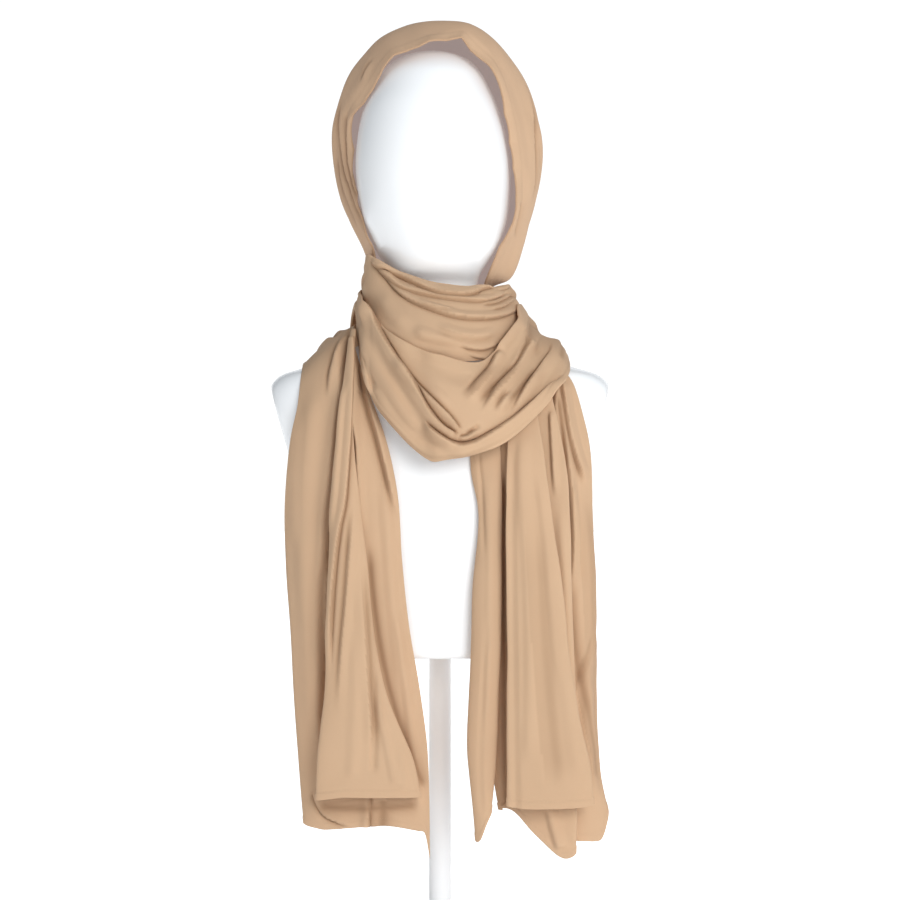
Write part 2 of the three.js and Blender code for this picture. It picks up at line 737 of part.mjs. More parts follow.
const leftBackFolds = [
  { view: "front", x1: -87, z1: 608, x2: -86, z2: 540, x3: -82, z3: 460, rise: 5, wide: 9, steep: 14 },
  { view: "front", x1: -80, z1: 581, x2: -72, z2: 520, x3: -56, z3: 460, rise: 4, wide: 12, steep: 8 },
  { view: "front", x1: -120, z1: 560, x2: -134, z2: 470, x3: -132, z3: 330, rise: 4, wide: 16, steep: 9 },
  { view: "front", x1: -46, z1: 330, x2: -36, z2: 250, x3: -26, z3: 150, rise: 4, wide: 9, steep: 9 },
];

const leftFrontRows = [
  { outX: -90, outZ: 601, outY: -49, inX: -85.5, inZ: 601, inY: -50, bulge: 0 },
  { outX: -93, outZ: 580, outY: -70.5, inX: -86, inZ: 580, inY: -72.5, bulge: 1.2 },
  { outX: -97, outZ: 555, outY: -85, inX: -86.5, inZ: 555, inY: -87, bulge: 1 },
  { outX: -103, outZ: 500, outY: -104.5, inX: -87, inZ: 500, inY: -104.5, bulge: 2 },
  { outX: -111, outZ: 430, outY: -109.5, inX: -80, inZ: 430, inY: -110, bulge: 4.5 },
  { outX: -115, outZ: 365, outY: -110.5, inX: -72, inZ: 365, inY: -111, bulge: 5.5 },
  { outX: -117, outZ: 300, outY: -109.5, inX: -63, inZ: 300, inY: -109.5, bulge: 5 },
  { outX: -118, outZ: 240, outY: -107.5, inX: -46, inZ: 240, inY: -107.5, bulge: 5 },
  { outX: -121, outZ: 185, outY: -104.5, inX: -30, inZ: 185, inY: -103.5, bulge: 5 },
  { outX: -123, outZ: 142, outY: -102.5, inX: -21, inZ: 146, inY: -100.5, bulge: 5 },
];
const leftFrontHem = [-3, 2, 2, 0, 1, 2, 3, 2, -3];
const leftFrontFolds = [
  { view: "front", x1: -100, z1: 420, x2: -94, z2: 330, x3: -96, z3: 170, rise: 4, wide: 9, steep: 12 },
  { view: "front", x1: -68, z1: 252, x2: -66, z2: 200, x3: -66, z3: 150, rise: -4, wide: 10, steep: 9 },
];

const rightOuterRows = [
  { outX: 62, outZ: 556, outY: 96, inX: 50, inZ: 582, inY: 89, bulge: -2 },
  { outX: 96, outZ: 560, outY: 88, inX: 71, inZ: 586, inY: 77, bulge: -3 },
  { outX: 114, outZ: 580, outY: 48, inX: 86, inZ: 593, inY: 48, bulge: -1, lift: 2 },
  { outX: 115, outZ: 584, outY: 6, inX: 86, inZ: 599, inY: 6, bulge: 0 },
  { outX: 118, outZ: 575, outY: -42.5, inX: 86, inZ: 587, inY: -48, bulge: 0 },
  { outX: 134, outZ: 552, outY: -63, inX: 92, inZ: 552, inY: -76, bulge: 1 },
  { outX: 149, outZ: 490, outY: -72, inX: 104, inZ: 490, inY: -85, bulge: 5 },
  { outX: 152, outZ: 420, outY: -72, inX: 108, inZ: 420, inY: -88, bulge: 8 },
  { outX: 156, outZ: 350, outY: -70, inX: 112, inZ: 350, inY: -87, bulge: 8 },
  { outX: 156, outZ: 290, outY: -68, inX: 114, inZ: 290, inY: -84, bulge: 8 },
  { outX: 157, outZ: 230, outY: -66, inX: 116, inZ: 230, inY: -80, bulge: 8 },
  { outX: 160, outZ: 170, outY: -64, inX: 118, inZ: 170, inY: -78, bulge: 8 },
  { outX: 168, outZ: 134, outY: -62, inX: 120, inZ: 110, inY: -76, bulge: 8 },
];
const rightOuterHem = [0, 20, 26, 20, 14, 10];
const rightOuterFolds = [
  { view: "front", x1: 133, z1: 496, x2: 142, z2: 460, x3: 146, z3: 380, rise: 4, wide: 9, steep: 12 },
  { view: "front", x1: 146, z1: 330, x2: 148, z2: 250, x3: 150, z3: 150, rise: 4, wide: 8, steep: 8 },
];

const rightBackRows = [
  { outX: 112, outZ: 536, outY: -85, inX: 66, inZ: 536, inY: -89, bulge: 0 },
  { outX: 124, outZ: 480, outY: -98, inX: 60, inZ: 480, inY: -91, bulge: 1.2 },
  { outX: 128, outZ: 420, outY: -102.5, inX: 54, inZ: 420, inY: -90, bulge: 2.8 },
  { outX: 131, outZ: 350, outY: -103, inX: 53, inZ: 350, inY: -89, bulge: 2.8 },
  { outX: 133, outZ: 290, outY: -101, inX: 53, inZ: 290, inY: -86, bulge: 2.8 },
  { outX: 135, outZ: 230, outY: -98, inX: 53, inZ: 230, inY: -82, bulge: 3.3 },
  { outX: 136, outZ: 170, outY: -95, inX: 54, inZ: 170, inY: -78, bulge: 3.3 },
  { outX: 135, outZ: 92, outY: -92, inX: 60, inZ: 130, inY: -76, bulge: 3.3 },
];
const rightBackHem = [2, 18, 20, 15, 1, -2, 0];
const rightBackFolds = [
  { view: "front", x1: 112, z1: 180, x2: 112, z2: 140, x3: 116, z3: 90, rise: 4, wide: 12, steep: 10 },
];

const rightFrontRows = [
  { outX: 96, outZ: 530, outY: -92, inX: 72, inZ: 530, inY: -94, bulge: 0 },
  { outX: 104, outZ: 480, outY: -108, inX: 72, inZ: 480, inY: -106, bulge: 1 },
  { outX: 111, outZ: 425, outY: -114, inX: 71, inZ: 425, inY: -113, bulge: 2 },
  { outX: 122, outZ: 350, outY: -115, inX: 69, inZ: 350, inY: -114, bulge: 3 },
  { outX: 128, outZ: 290, outY: -114, inX: 68, inZ: 290, inY: -113, bulge: 4 },
  { outX: 137, outZ: 230, outY: -112, inX: 67, inZ: 230, inY: -111, bulge: 4 },
  { outX: 148, outZ: 180, outY: -110, inX: 65, inZ: 180, inY: -109, bulge: 4 },
  { outX: 153, outZ: 143, outY: -108, inX: 65, inZ: 143, inY: -107, bulge: 4 },
];
const rightFrontHem = [1, 7, 10, 11, 11, 8, 1];
const rightFrontFolds = [
  { view: "front", x1: 84, z1: 480, x2: 90, z2: 380, x3: 92, z3: 200, rise: 4, wide: 12, steep: 9 },
  { view: "front", x1: 104, z1: 380, x2: 112, z2: 300, x3: 124, z3: 170, rise: 3, wide: 12, steep: 9 },
];

const stripRows = [
  { outX: 56, outZ: 520, outY: -88.6, inX: 30, inZ: 520, inY: -88.6, bulge: 1 },
  { outX: 58, outZ: 470, outY: -95.6, inX: 32, inZ: 470, inY: -92.6, bulge: 3 },
  { outX: 59, outZ: 425, outY: -98.6, inX: 39, inZ: 425, inY: -95.6, bulge: 4 },
  { outX: 58, outZ: 354, outY: -99.6, inX: 33, inZ: 354, inY: -95.6, bulge: 5 },
  { outX: 58, outZ: 300, outY: -98.6, inX: 32, inZ: 300, inY: -93.6, bulge: 5 },
  { outX: 57, outZ: 241, outY: -95.6, inX: 29, inZ: 241, inY: -90.6, bulge: 5 },
  { outX: 57, outZ: 185, outY: -90.6, inX: 28, inZ: 185, inY: -87.6, bulge: 5 },
  { outX: 56, outZ: 130, outY: -88.6, inX: 36, inZ: 126, inY: -85.6, bulge: 4 },
];
const stripHem = [0, 2, 12, 26, 24, 8];
const stripFolds = [
  { view: "front", x1: 46, z1: 480, x2: 52, z2: 400, x3: 46, z3: 200, rise: -3, wide: 7, steep: 7 },
];

function addTail(name, rows, turns, hem, blend, folds, steps, outward) {
  const plain = gridOnRails(tailRails(rows, turns), steps.down, steps.across, false);
  const grid = creaseGrid(shapeHem(plain, hem, blend), folds, false, outward);
  addPart(name, wallOn(grid, { closed: false, outward }), clothColor, 0.85);
}

addTail("left_tail_back", leftBackRows, { outer: 26, inner: 0 }, leftBackHem, 0.1, leftBackFolds,
  { down: 28, across: 15 }, 1);
addTail("left_tail_front", leftFrontRows, { outer: 10, inner: 10 }, leftFrontHem, 0.1, leftFrontFolds,
  { down: 25, across: 10 }, 1);
addTail("right_tail_outer", rightOuterRows, { outer: 26, inner: 0 }, rightOuterHem, 0.1,
  rightOuterFolds, { down: 28, across: 8 }, -1);
addTail("right_tail_back", rightBackRows, { outer: 10, inner: 8 }, rightBackHem, 0.1, rightBackFolds,
  { down: 20, across: 10 }, -1);
addTail("right_tail_front", rightFrontRows, { outer: 10, inner: 10 }, rightFrontHem, 0.1,
  rightFrontFolds, { down: 20, across: 10 }, -1);
addTail("right_tail_strip", stripRows, { outer: 5, inner: 10 }, stripHem, 0.12, stripFolds,
  { down: 20, across: 8 }, -1);

export default group;
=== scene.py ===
import math
import bmesh
import bpy
import numpy as np
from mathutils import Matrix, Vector


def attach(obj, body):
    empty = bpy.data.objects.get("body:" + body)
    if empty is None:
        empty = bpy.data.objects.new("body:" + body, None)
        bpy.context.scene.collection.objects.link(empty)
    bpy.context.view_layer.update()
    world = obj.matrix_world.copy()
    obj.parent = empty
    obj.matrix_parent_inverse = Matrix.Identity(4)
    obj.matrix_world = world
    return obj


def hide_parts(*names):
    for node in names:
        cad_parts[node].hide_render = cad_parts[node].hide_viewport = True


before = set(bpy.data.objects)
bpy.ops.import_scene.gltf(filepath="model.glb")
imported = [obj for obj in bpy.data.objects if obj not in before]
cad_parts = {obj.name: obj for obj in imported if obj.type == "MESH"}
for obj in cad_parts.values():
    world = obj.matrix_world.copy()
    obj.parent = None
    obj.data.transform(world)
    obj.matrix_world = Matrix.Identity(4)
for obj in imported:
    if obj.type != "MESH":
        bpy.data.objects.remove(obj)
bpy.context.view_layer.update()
print("frame loaded:", len(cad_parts), "nodes")

mm = 0.001
eye = {"across": 10, "height": 490, "distance": 2400}  # where the front drawing is seen from
drawing = {"poleLine": 440, "floorLine": 940}  # drawing millimetres, from its top left corner
cloth = {"thickness": 0.9, "edgeRoll": 0.75, "edgeLayer": 14, "bottomLayer": 10, "layerFrom": 0.55}


def smoothStep(low, high, value):
    share = np.clip((np.asarray(value, float) - low) / (high - low), 0, 1)
    return share * share * (3 - 2 * share)


def fromFront(across, height, depth):    # front drawing plane and depth to x, y, z
    across, height, depth = (np.asarray(v, float) for v in (across, height, depth))
    spread = (eye["distance"] + depth) / eye["distance"]
    x = eye["across"] + (across - eye["across"]) * spread
    z = eye["height"] + (height - eye["height"]) * spread
    return np.stack([x, depth, z], -1)


views = {      # towards the eye, and the axes that run right and up in the drawing
    "front": ((0, -1, 0), (0, 2)), "back": ((0, 1, 0), (0, 2)),
    "left": ((-1, 0, 0), (1, 2)), "right": ((1, 0, 0), (1, 2)),
}


def fromDrawing(line):      # drawing points, from its top left corner, to across and height
    line = np.asarray(line, float)
    return np.stack([line[:, 0] - drawing["poleLine"], drawing["floorLine"] - line[:, 1]], -1)


def placesIn(view, points):      # where points stand in a flat view
    across, up = views[view][1]
    if view != "front":
        return points[:, [across, up]]
    spread = (eye["distance"] + points[:, 1]) / eye["distance"]
    return np.stack([eye["across"] + (points[:, 0] - eye["across"]) / spread,
                     eye["height"] + (points[:, 2] - eye["height"]) / spread], -1)


def curveWeights(count, places, closed=False):  # smooth curve through evenly numbered stations
    places = np.asarray(places, float)
    start = np.floor(places).astype(int)
    if not closed:
        start = np.clip(start, 0, count - 2)
    t = places - start
    parts = [-t + 2 * t**2 - t**3, 2 - 5 * t**2 + 3 * t**3, t + 4 * t**2 - 3 * t**3, -t**2 + t**3]
    matrix = np.zeros((len(places), count))
    for number, part in enumerate(parts):
        index = start - 1 + number
        index = index % count if closed else np.clip(index, 0, count - 1)
        np.add.at(matrix, (np.arange(len(places)), index), part * 0.5)
    return matrix


def curveThrough(points, steps, closed=False):
    points = np.asarray(points, float)
    span = len(points) if closed else len(points) - 1
    places = np.linspace(0, span, steps, endpoint=not closed)
    return curveWeights(len(points), places, closed) @ points


def gridOnRails(rails, down, across, closed):  # smooth surface through lines of stations
    rails = np.asarray(rails, float)      # rail, station, xyz
    stations = rails.shape[1]
    span = stations if closed else stations - 1
    rows = curveWeights(stations, np.linspace(0, span, down, endpoint=not closed), closed)
    places = np.linspace(0, len(rails) - 1, across) if np.isscalar(across) else across
    columns = curveWeights(len(rails), places)
    return np.einsum("as,rsk,br->abk", rows, rails, columns)


def runAcross(grid):      # way from the first column, along each row
    run = np.linalg.norm(np.diff(grid, axis=1), axis=-1)
    return np.concatenate([np.zeros((len(grid), 1)), np.cumsum(run, 1)], 1)


def gridNormals(grid, closed):
    if closed:
        down = np.roll(grid, -1, 0) - np.roll(grid, 1, 0)
    else:
        down = np.gradient(grid, axis=0)
    over = np.gradient(grid, axis=1)
    normal = np.cross(down, over)
    length = np.linalg.norm(normal, axis=-1, keepdims=True)
    return np.where(length > 1e-9, normal / np.maximum(length, 1e-9), np.array([0.0, 1.0, 0.0]))


def nearestOnLine(spots, line):      # distance, side (above 0 is left of travel), way along, travel, length
    begin, run = line[:-1], np.diff(line, axis=0)
    lengths = np.maximum(np.linalg.norm(run, axis=1), 1e-6)
    travelled = np.concatenate([[0], np.cumsum(lengths)])
    off = spots[:, None] - begin[None]
    share = np.clip((off * run).sum(-1) / lengths**2, 0, 1)
    gap = off - share[..., None] * run
    distance = np.linalg.norm(gap, axis=-1)
    best = distance.argmin(1)
    pick = np.arange(len(spots))
    side = run[best, 0] * off[pick, best, 1] - run[best, 1] * off[pick, best, 0]
    along = travelled[best] + share[pick, best] * lengths[best]
    return distance[pick, best], np.sign(side), along, run[best] / lengths[best][:, None], travelled[-1]


def fold(line, rise, soft, sharp, groove, lean, fade=(14, 14), view="front", flip=False):
    # crest on the line, soft side on the left of its travel, sharp side and groove on the right; the groove
    # also sets how dark its painted crease shade is
    points = fromDrawing(line) if view == "front" else np.asarray(line, float)
    if flip:
        points, fade = points[::-1], fade[::-1]
    steps = max(12, 6 * len(points))
    return {"line": curveThrough(points, steps), "rise": rise, "soft": soft, "sharp": sharp, "groove": groove,
            "lean": lean, "fade": fade, "view": view}


def ridge(line, rise, wide, fade=(25, 25), view="front"):  # the same on both sides
    return fold(line, rise, wide, wide, 0, 0, fade, view)


# the shade values spread the painted crease shade out from each groove on its sharp side
creasing = {"turnedAway": (0.08, 0.6), "grooveLeast": 0.9, "grooveShare": 0.45, "shadeShare": 0.55,
            "fadeLeast": 0.5, "reach": 4, "shadeReach": 2, "shadeFrom": 0.5, "leanWide": 1.5}


# moves the sheet by the folds and also makes a map of painted crease shade, dark in each groove and fading
# beside it
def layFolds(grid, folds, outward, closed, depth):
    normals = gridNormals(grid, closed) * outward
    points, facing = grid.reshape(-1, 3), normals.reshape(-1, 3)
    shift = np.zeros_like(points)
    creaseShadePaint = np.zeros(len(points))
    for item in folds:
        towards, (right, up) = views[item["view"]]
        seen = smoothStep(*creasing["turnedAway"], facing @ np.array(towards, float))
        spots = placesIn(item["view"], points)
        narrow = creasing["grooveLeast"] + creasing["grooveShare"] * item["sharp"]
        reach = max(item["soft"], item["sharp"] + creasing["reach"] * narrow)
        low, high = item["line"].min(0) - reach, item["line"].max(0) + reach
        near = np.nonzero((seen > 0) & np.all((spots > low) & (spots < high), axis=1))[0]
        if len(near) == 0:
            continue
        seen, toEye = seen[near], facing[near]
        distance, side, along, travel, total = nearestOnLine(spots[near], item["line"])
        softSide, sharpSide = side >= 0, side < 0
        width = np.where(softSide, item["soft"], item["sharp"])
        hill = 0.5 * (1 + np.cos(np.pi * np.clip(distance / width, 0, 1)))
        past = distance - item["sharp"]
        groove = sharpSide * np.exp(-(past / narrow) ** 2)
        shade = sharpSide * np.exp(-np.maximum(past, 0) / (creasing["shadeReach"] * narrow))
        shade = shade * (1 - smoothStep(creasing["shadeFrom"] * reach, reach, distance))
        least = creasing["fadeLeast"]
        begin, end = (smoothStep(-least, max(fade, least), way)
                      for fade, way in zip(item["fade"], (along, total - along)))
        ends = begin * end * seen
        shift[near] += toEye * (depth * (item["rise"] * hill - item["groove"] * groove) * ends)[:, None]
        # painted shade in the groove and beside it
        paintedShadeHere = np.maximum(groove, creasing["shadeShare"] * shade) * ends * min(1, item["groove"])
        creaseShadePaint[near] = np.maximum(creaseShadePaint[near], paintedShadeHere)
        if item["lean"] > 0:      # the crest leans over the groove
            aside = np.zeros((len(near), 3))
            aside[:, right], aside[:, up] = travel[:, 1], -travel[:, 0]
            aside -= toEye * (aside * toEye).sum(1, keepdims=True)
            lean = softSide * np.exp(-(distance / (item["sharp"] + creasing["leanWide"])) ** 2)
            lean += sharpSide * np.exp(-(distance / item["sharp"]) ** 2)
            shift[near] += aside * (depth * item["lean"] * lean * ends * seen)[:, None]
    return (points + shift).reshape(grid.shape), creaseShadePaint.reshape(grid.shape[:2])


crumpling = {"waves": 14, "lengths": (0.6, 2.2), "heights": (0.4, 1), "even": 3.2}


def crumple(grid, outward, closed, amount, size, seed):  # small uneven waves, so no stretch is quite even
    rng = np.random.default_rng(seed)
    points = grid.reshape(-1, 3)
    wave = np.zeros(len(points))
    for _ in range(crumpling["waves"]):
        direction = rng.normal(size=3)
        direction /= np.linalg.norm(direction)
        length = size * rng.uniform(*crumpling["lengths"])
        height = rng.uniform(*crumpling["heights"])
        wave += height * np.sin(points @ direction * 2 * np.pi / length + rng.uniform(0, 2 * np.pi))
    lift = (amount * wave / crumpling["even"]).reshape(grid.shape[:2])
    return grid + gridNormals(grid, closed) * outward * lift[..., None]


def rollEdge(grid, outward, roll, layer, atStart=True, steps=5, layerSteps=5):
    # a ring's edge turned under: the sheet stands off by the roll, goes round it and lies back behind itself
    work = grid if atStart else grid[:, ::-1]
    normals = gridNormals(work, True) * (outward if atStart else -outward)
    fromEdge = runAcross(work)
    share = 1 - smoothStep(layer * cloth["layerFrom"], layer, fromEdge)
    lifted = work + normals * (roll * share)[..., None]
    edge, normal = work[:, 0], normals[:, 0]
    beyond = work[:, 0] - work[:, 2]
    beyond -= normal * (beyond * normal).sum(1, keepdims=True)
    beyond /= np.maximum(np.linalg.norm(beyond, axis=1, keepdims=True), 1e-9)
    columns = []
    for turn in np.linspace(0, math.pi, steps + 2)[1:-1]:
        columns.append(edge + normal * roll * math.cos(turn) + beyond * roll * math.sin(turn))
    rows = np.arange(len(work))
    for place in np.linspace(0, 1, layerSteps) * layer:  # the inner layer follows the sheet
        index = np.clip((fromEdge < place).sum(1), 1, work.shape[1] - 1)
        before, after = fromEdge[rows, index - 1], fromEdge[rows, index]
        part = np.clip((place - before) / np.maximum(after - before, 1e-6), 0, 1)[:, None]
        point = work[rows, index - 1] * (1 - part) + work[rows, index] * part
        columns.append(point - normals[rows, index] * roll)
    joined = np.concatenate([np.stack(columns[::-1], 1), lifted], 1)
    return joined if atStart else joined[:, ::-1]


def addObject(name, data):
    made = bpy.data.objects.new(name, data)
    bpy.context.scene.collection.objects.link(made)
    return made


def addPiece(name, points, faces):
    data = bpy.data.meshes.new(name)
    data.from_pydata((points.reshape(-1, 3) * mm).tolist(), [], faces)
    return addObject(name, data), data


def quads(first, second):      # faces between two neighbouring tables of point numbers
    return np.stack([first[0], first[1], second[1], second[0]], -1).reshape(-1, 4).tolist()


def clothPiece(name, grid, closed, pole, paintedShadeMap, hemMap=None):
    rows, columns = grid.shape[:2]
    numbers = np.arange(rows * columns).reshape(rows, columns)
    used = columns - 1 if pole else columns
    below = (np.arange(rows) + 1) % rows if closed else np.arange(1, rows)
    here = np.arange(len(below))
    near, far = slice(0, used - 1), slice(1, used)
    upper, lower = numbers[here], numbers[below]
    faces = quads((upper[:, near], lower[:, near]), (upper[:, far], lower[:, far]))
    if pole:
        faces += [[int(a), int(b), columns - 1] for a, b in zip(upper[:, used - 1], lower[:, used - 1])]
    piece, data = addPiece(name, grid, faces)
    fall = np.linalg.norm(np.diff(grid, axis=0), axis=-1)
    along = np.concatenate([np.zeros((1, columns)), np.cumsum(fall, 0)], 0).mean(1, keepdims=True)
    # the crease map carries painted crease shade to the material
    maps = {"clothAcross": runAcross(grid), "clothAlong": np.repeat(along, columns, 1),
            "paintedCreaseShade": paintedShadeMap, "hemRun": np.zeros((rows, columns)) if hemMap is None else hemMap}
    for label, values in maps.items():
        layer = data.attributes.new(label, "FLOAT", "POINT")
        layer.data.foreach_set("value", np.asarray(values, np.float32).reshape(-1))
    if pole:      # the other points of the last column aren't used
        work = bmesh.new()
        work.from_mesh(data)
        work.verts.ensure_lookup_table()
        unused = [work.verts[i] for i in set(numbers[1:, columns - 1].tolist())]
        bmesh.ops.delete(work, geom=unused, context="VERTS")
        work.to_mesh(data)
        work.free()
    data.polygons.foreach_set("use_smooth", [True] * len(data.polygons))
    data.validate()
    return piece


def finishCloth(piece, node, inside, outward):
    wall = piece.modifiers.new("cloth thickness", "SOLIDIFY")
    wall.thickness = cloth["thickness"] * mm
    wall.offset = 0
    wall.use_quality_normals = True
    for side in ([sand, inside] if outward > 0 else [inside, sand]):
        piece.data.materials.append(side)
    wall.material_offset = 1
    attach(piece, "root")
    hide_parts(node)


def hardPiece(name, grid, node, material):  # rows of points round an axis, closed at both ends
    numbers = np.arange(grid.shape[0] * grid.shape[1]).reshape(grid.shape[:2])
    following = np.roll(numbers, -1, 1)
    piece, data = addPiece(name, grid, quads((numbers[:-1], numbers[1:]), (following[:-1], following[1:])))
    work = bmesh.new()
    work.from_mesh(data)
    bmesh.ops.remove_doubles(work, verts=work.verts, dist=1e-6)
    bmesh.ops.recalc_face_normals(work, faces=work.faces)
    work.to_mesh(data)
    work.free()
    data.polygons.foreach_set("use_smooth", [True] * len(data.polygons))
    data.materials.append(material)
    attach(piece, "root")
    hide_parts(node)
    return piece


class Socket:      # a socket that can be used in plain sums
    def __init__(self, sheet, link):
        self.sheet, self.link = sheet, link

    def math(self, operation, *values):
        return self.sheet.node("Math", {"operation": operation}, dict(enumerate(values)))

    def __add__(self, other): return self.math("ADD", self, other)
    def __radd__(self, other): return self.math("ADD", other, self)
    def __sub__(self, other): return self.math("SUBTRACT", self, other)
    def __rsub__(self, other): return self.math("SUBTRACT", other, self)
    def __mul__(self, other): return self.math("MULTIPLY", self, other)
    def __rmul__(self, other): return self.math("MULTIPLY", other, self)
    def __truediv__(self, other): return self.math("DIVIDE", self, other)
    def __rtruediv__(self, other): return self.math("DIVIDE", other, self)
    def __abs__(self): return self.math("ABSOLUTE", self)

    def sine(self): return self.math("SINE", self)
    def largest(self, other): return self.math("MAXIMUM", self, other)
    def smallest(self, other): return self.math("MINIMUM", self, other)
    def share(self): return self.largest(0).smallest(1)


class NodeSheet:      # the nodes of a material or of the world
    def __init__(self, owner):
        owner.use_nodes = True
        self.owner, self.tree = owner, owner.node_tree
        self.tree.nodes.clear()

    def node(self, kind, settings=None, inputs=None, output=0):
        made = self.tree.nodes.new("ShaderNode" + kind)
        for key, value in (settings or {}).items():
            setattr(made, key, value)
        for key, value in (inputs or {}).items():
            if isinstance(value, Socket):
                self.tree.links.new(value.link, made.inputs[key])
            else:
                made.inputs[key].default_value = value
        return Socket(self, made.outputs[output]) if made.outputs else None

    def mix(self, share, first, second):
        return self.node("Mix", {"data_type": "RGBA"}, {0: share, 6: first, 7: second}, 2)

    def attribute(self, name):
        return self.node("Attribute", {"attribute_name": name, "attribute_type": "GEOMETRY"},
                         output=2)

    def noise(self, vector, scale, detail, rough):
        return self.node("TexNoise", {}, {
            "Scale": scale, "Detail": detail, "Roughness": rough, "Vector": vector})

    def bump(self, height, strength, distance):
        return self.node("Bump", {}, {"Strength": strength, "Distance": distance, "Height": height})

    def part(self, vector, axis):
        return self.node("SeparateXYZ", {}, {0: vector}, axis)

    def finish(self, shader, kind="OutputMaterial"):
        self.node(kind, {}, {"Surface": shader})
        return self.owner


jersey = {
    "light": (0.73, 0.502, 0.318, 1), "shade": (0.65, 0.435, 0.268, 1), "thread": (0.78, 0.56, 0.37, 1),
    # the crease colour is painted shade: dark brown mixed into the cloth along the folds' grooves, less on
    # the reverse side
    "creaseShadePaint": (0.30, 0.165, 0.085, 1), "paintedCreaseShare": 0.75, "reversePaintedCreaseShare": 0.1,
    "roughness": 0.82, "sheen": 0.12, "sheenTint": (1.0, 0.86, 0.72, 1), "sheenRoughness": 0.45,
    "specular": 0.25, "through": (0.80, 0.60, 0.50, 1), "throughShare": 0.22,
    # the hood's inside: a greyer, mauve copy of the cloth colour and a cool glow, painted to stand in for its
    # shade and for light through the cloth
    "paintedInsideLight": (0.44, 0.36, 0.33, 1), "paintedInsideShade": (0.38, 0.31, 0.28, 1),
    "paintedGlowTint": (0.37, 0.35, 0.36, 1), "insidePaintedGlow": 0.6,
    "wale": 1.1, "course": 0.88, "streak": (0.9, 0.035), "bump": (0.35, 0.00025),
    "hemStitch": 7.0, "stitchWidth": 0.55, "stitchEvery": 2.6, "roughChange": 0.10,
    "dyeNoise": (9, 3, 0.55), "loopNoise": (420, 2, 0.6), "streakNoise": (1, 2, 0.5),
    "loopShare": 0.18, "streakShare": 0.10, "stitchShare": 0.35,
    "waleHeight": 0.22, "courseHeight": 0.10, "loopHeight": 0.5, "stitchHeight": 1.2, "stitchDip": 1.4,
}


def jerseyMaterial(name, light, shade, paintedCreaseShare, paintedGlow):
    m = NodeSheet(bpy.data.materials.new(name))
    across, along = m.attribute("clothAcross"), m.attribute("clothAlong")
    hem, creaseShadePaint = m.attribute("hemRun"), m.attribute("paintedCreaseShade")
    where = m.node("TexCoord", output=3)
    dye = m.noise(where, *jersey["dyeNoise"])      # slow change of dye and nap
    loops = m.noise(where, *jersey["loopNoise"])      # single loops
    streakAcross, streakAlong = jersey["streak"]
    cloud = m.node("CombineXYZ", {}, {0: across * streakAcross, 1: along * streakAlong, 2: 0.0})
    streak = m.noise(cloud, *jersey["streakNoise"])
    color = m.mix(dye, shade, light)
    color = m.mix(jersey["loopShare"] * loops, color, jersey["thread"])
    color = m.mix(jersey["streakShare"] * streak, color, shade)
    # painted crease shade, taken from the fold map
    color = m.mix(paintedCreaseShare * creaseShadePaint, color, jersey["creaseShadePaint"])
    wale = (across * (2 * math.pi / jersey["wale"])).sine()
    course = (along * (2 * math.pi / jersey["course"])).sine()
    stitchRow = 1 - (abs(hem - jersey["hemStitch"]) / jersey["stitchWidth"]).smallest(1)
    stitch = stitchRow * (across * (2 * math.pi / jersey["stitchEvery"])).sine().largest(0)
    color = m.mix(jersey["stitchShare"] * stitch, color, jersey["thread"])
    height = jersey["waleHeight"] * wale + jersey["courseHeight"] * course * wale
    height = height + jersey["loopHeight"] * loops + jersey["loopHeight"] * streak
    height = height + jersey["stitchHeight"] * stitch - jersey["stitchDip"] * stitchRow
    bump = m.bump(height, *jersey["bump"])
    shader = m.node("BsdfPrincipled", {}, {
        "Base Color": color, "Normal": bump,
        "Roughness": jersey["roughness"] + jersey["roughChange"] * (loops - 0.5),
        "Sheen Weight": jersey["sheen"], "Sheen Roughness": jersey["sheenRoughness"],
        "Sheen Tint": jersey["sheenTint"], "Specular IOR Level": jersey["specular"],
        # painted glow, used only on the hood's inside
        "Emission Color": jersey["paintedGlowTint"], "Emission Strength": paintedGlow})
    through = m.node("BsdfTranslucent", {}, {"Color": jersey["through"]})
    return m.finish(m.node("MixShader", {}, {0: jersey["throughShare"], 1: shader, 2: through}))


formShell = {
    "color": (0.94, 0.95, 0.955, 1), "dust": (0.90, 0.905, 0.91, 1), "roughness": 0.22, "coat": 0.35,
    # the shell's white glow is painted light, which brightens it where the hood shades it
    "coatRoughness": 0.12, "specular": 0.4, "paintedGlow": 0.06, "bump": (0.05, 0.0002),
    "dustNoise": (14, 3, 0.5), "grainNoise": (600, 2, 0.5), "dustShare": 0.25, "roughChange": 0.08,
}


def formMaterial():
    m = NodeSheet(bpy.data.materials.new("white gloss shell"))
    where = m.node("TexCoord", output=3)
    dust = m.noise(where, *formShell["dustNoise"])
    grain = m.noise(where, *formShell["grainNoise"])
    bump = m.bump(grain, *formShell["bump"])
    return m.finish(m.node("BsdfPrincipled", {}, {
        "Base Color": m.mix(formShell["dustShare"] * dust, formShell["color"], formShell["dust"]),
        "Roughness": formShell["roughness"] + formShell["roughChange"] * dust, "Normal": bump,
        "Coat Weight": formShell["coat"],
        "Coat Roughness": formShell["coatRoughness"], "Specular IOR Level": formShell["specular"],
        # painted glow
        "Emission Color": (1, 1, 1, 1), "Emission Strength": formShell["paintedGlow"]}))


powderCoat = {
    "color": (0.93, 0.935, 0.94, 1), "worn": (0.87, 0.875, 0.88, 1), "roughness": 0.38,
    "bump": (0.12, 0.0002),
    "peelNoise": (900, 2, 0.5), "wearNoise": (30, 3, 0.6), "wearShare": 0.2, "roughChange": 0.1,
}


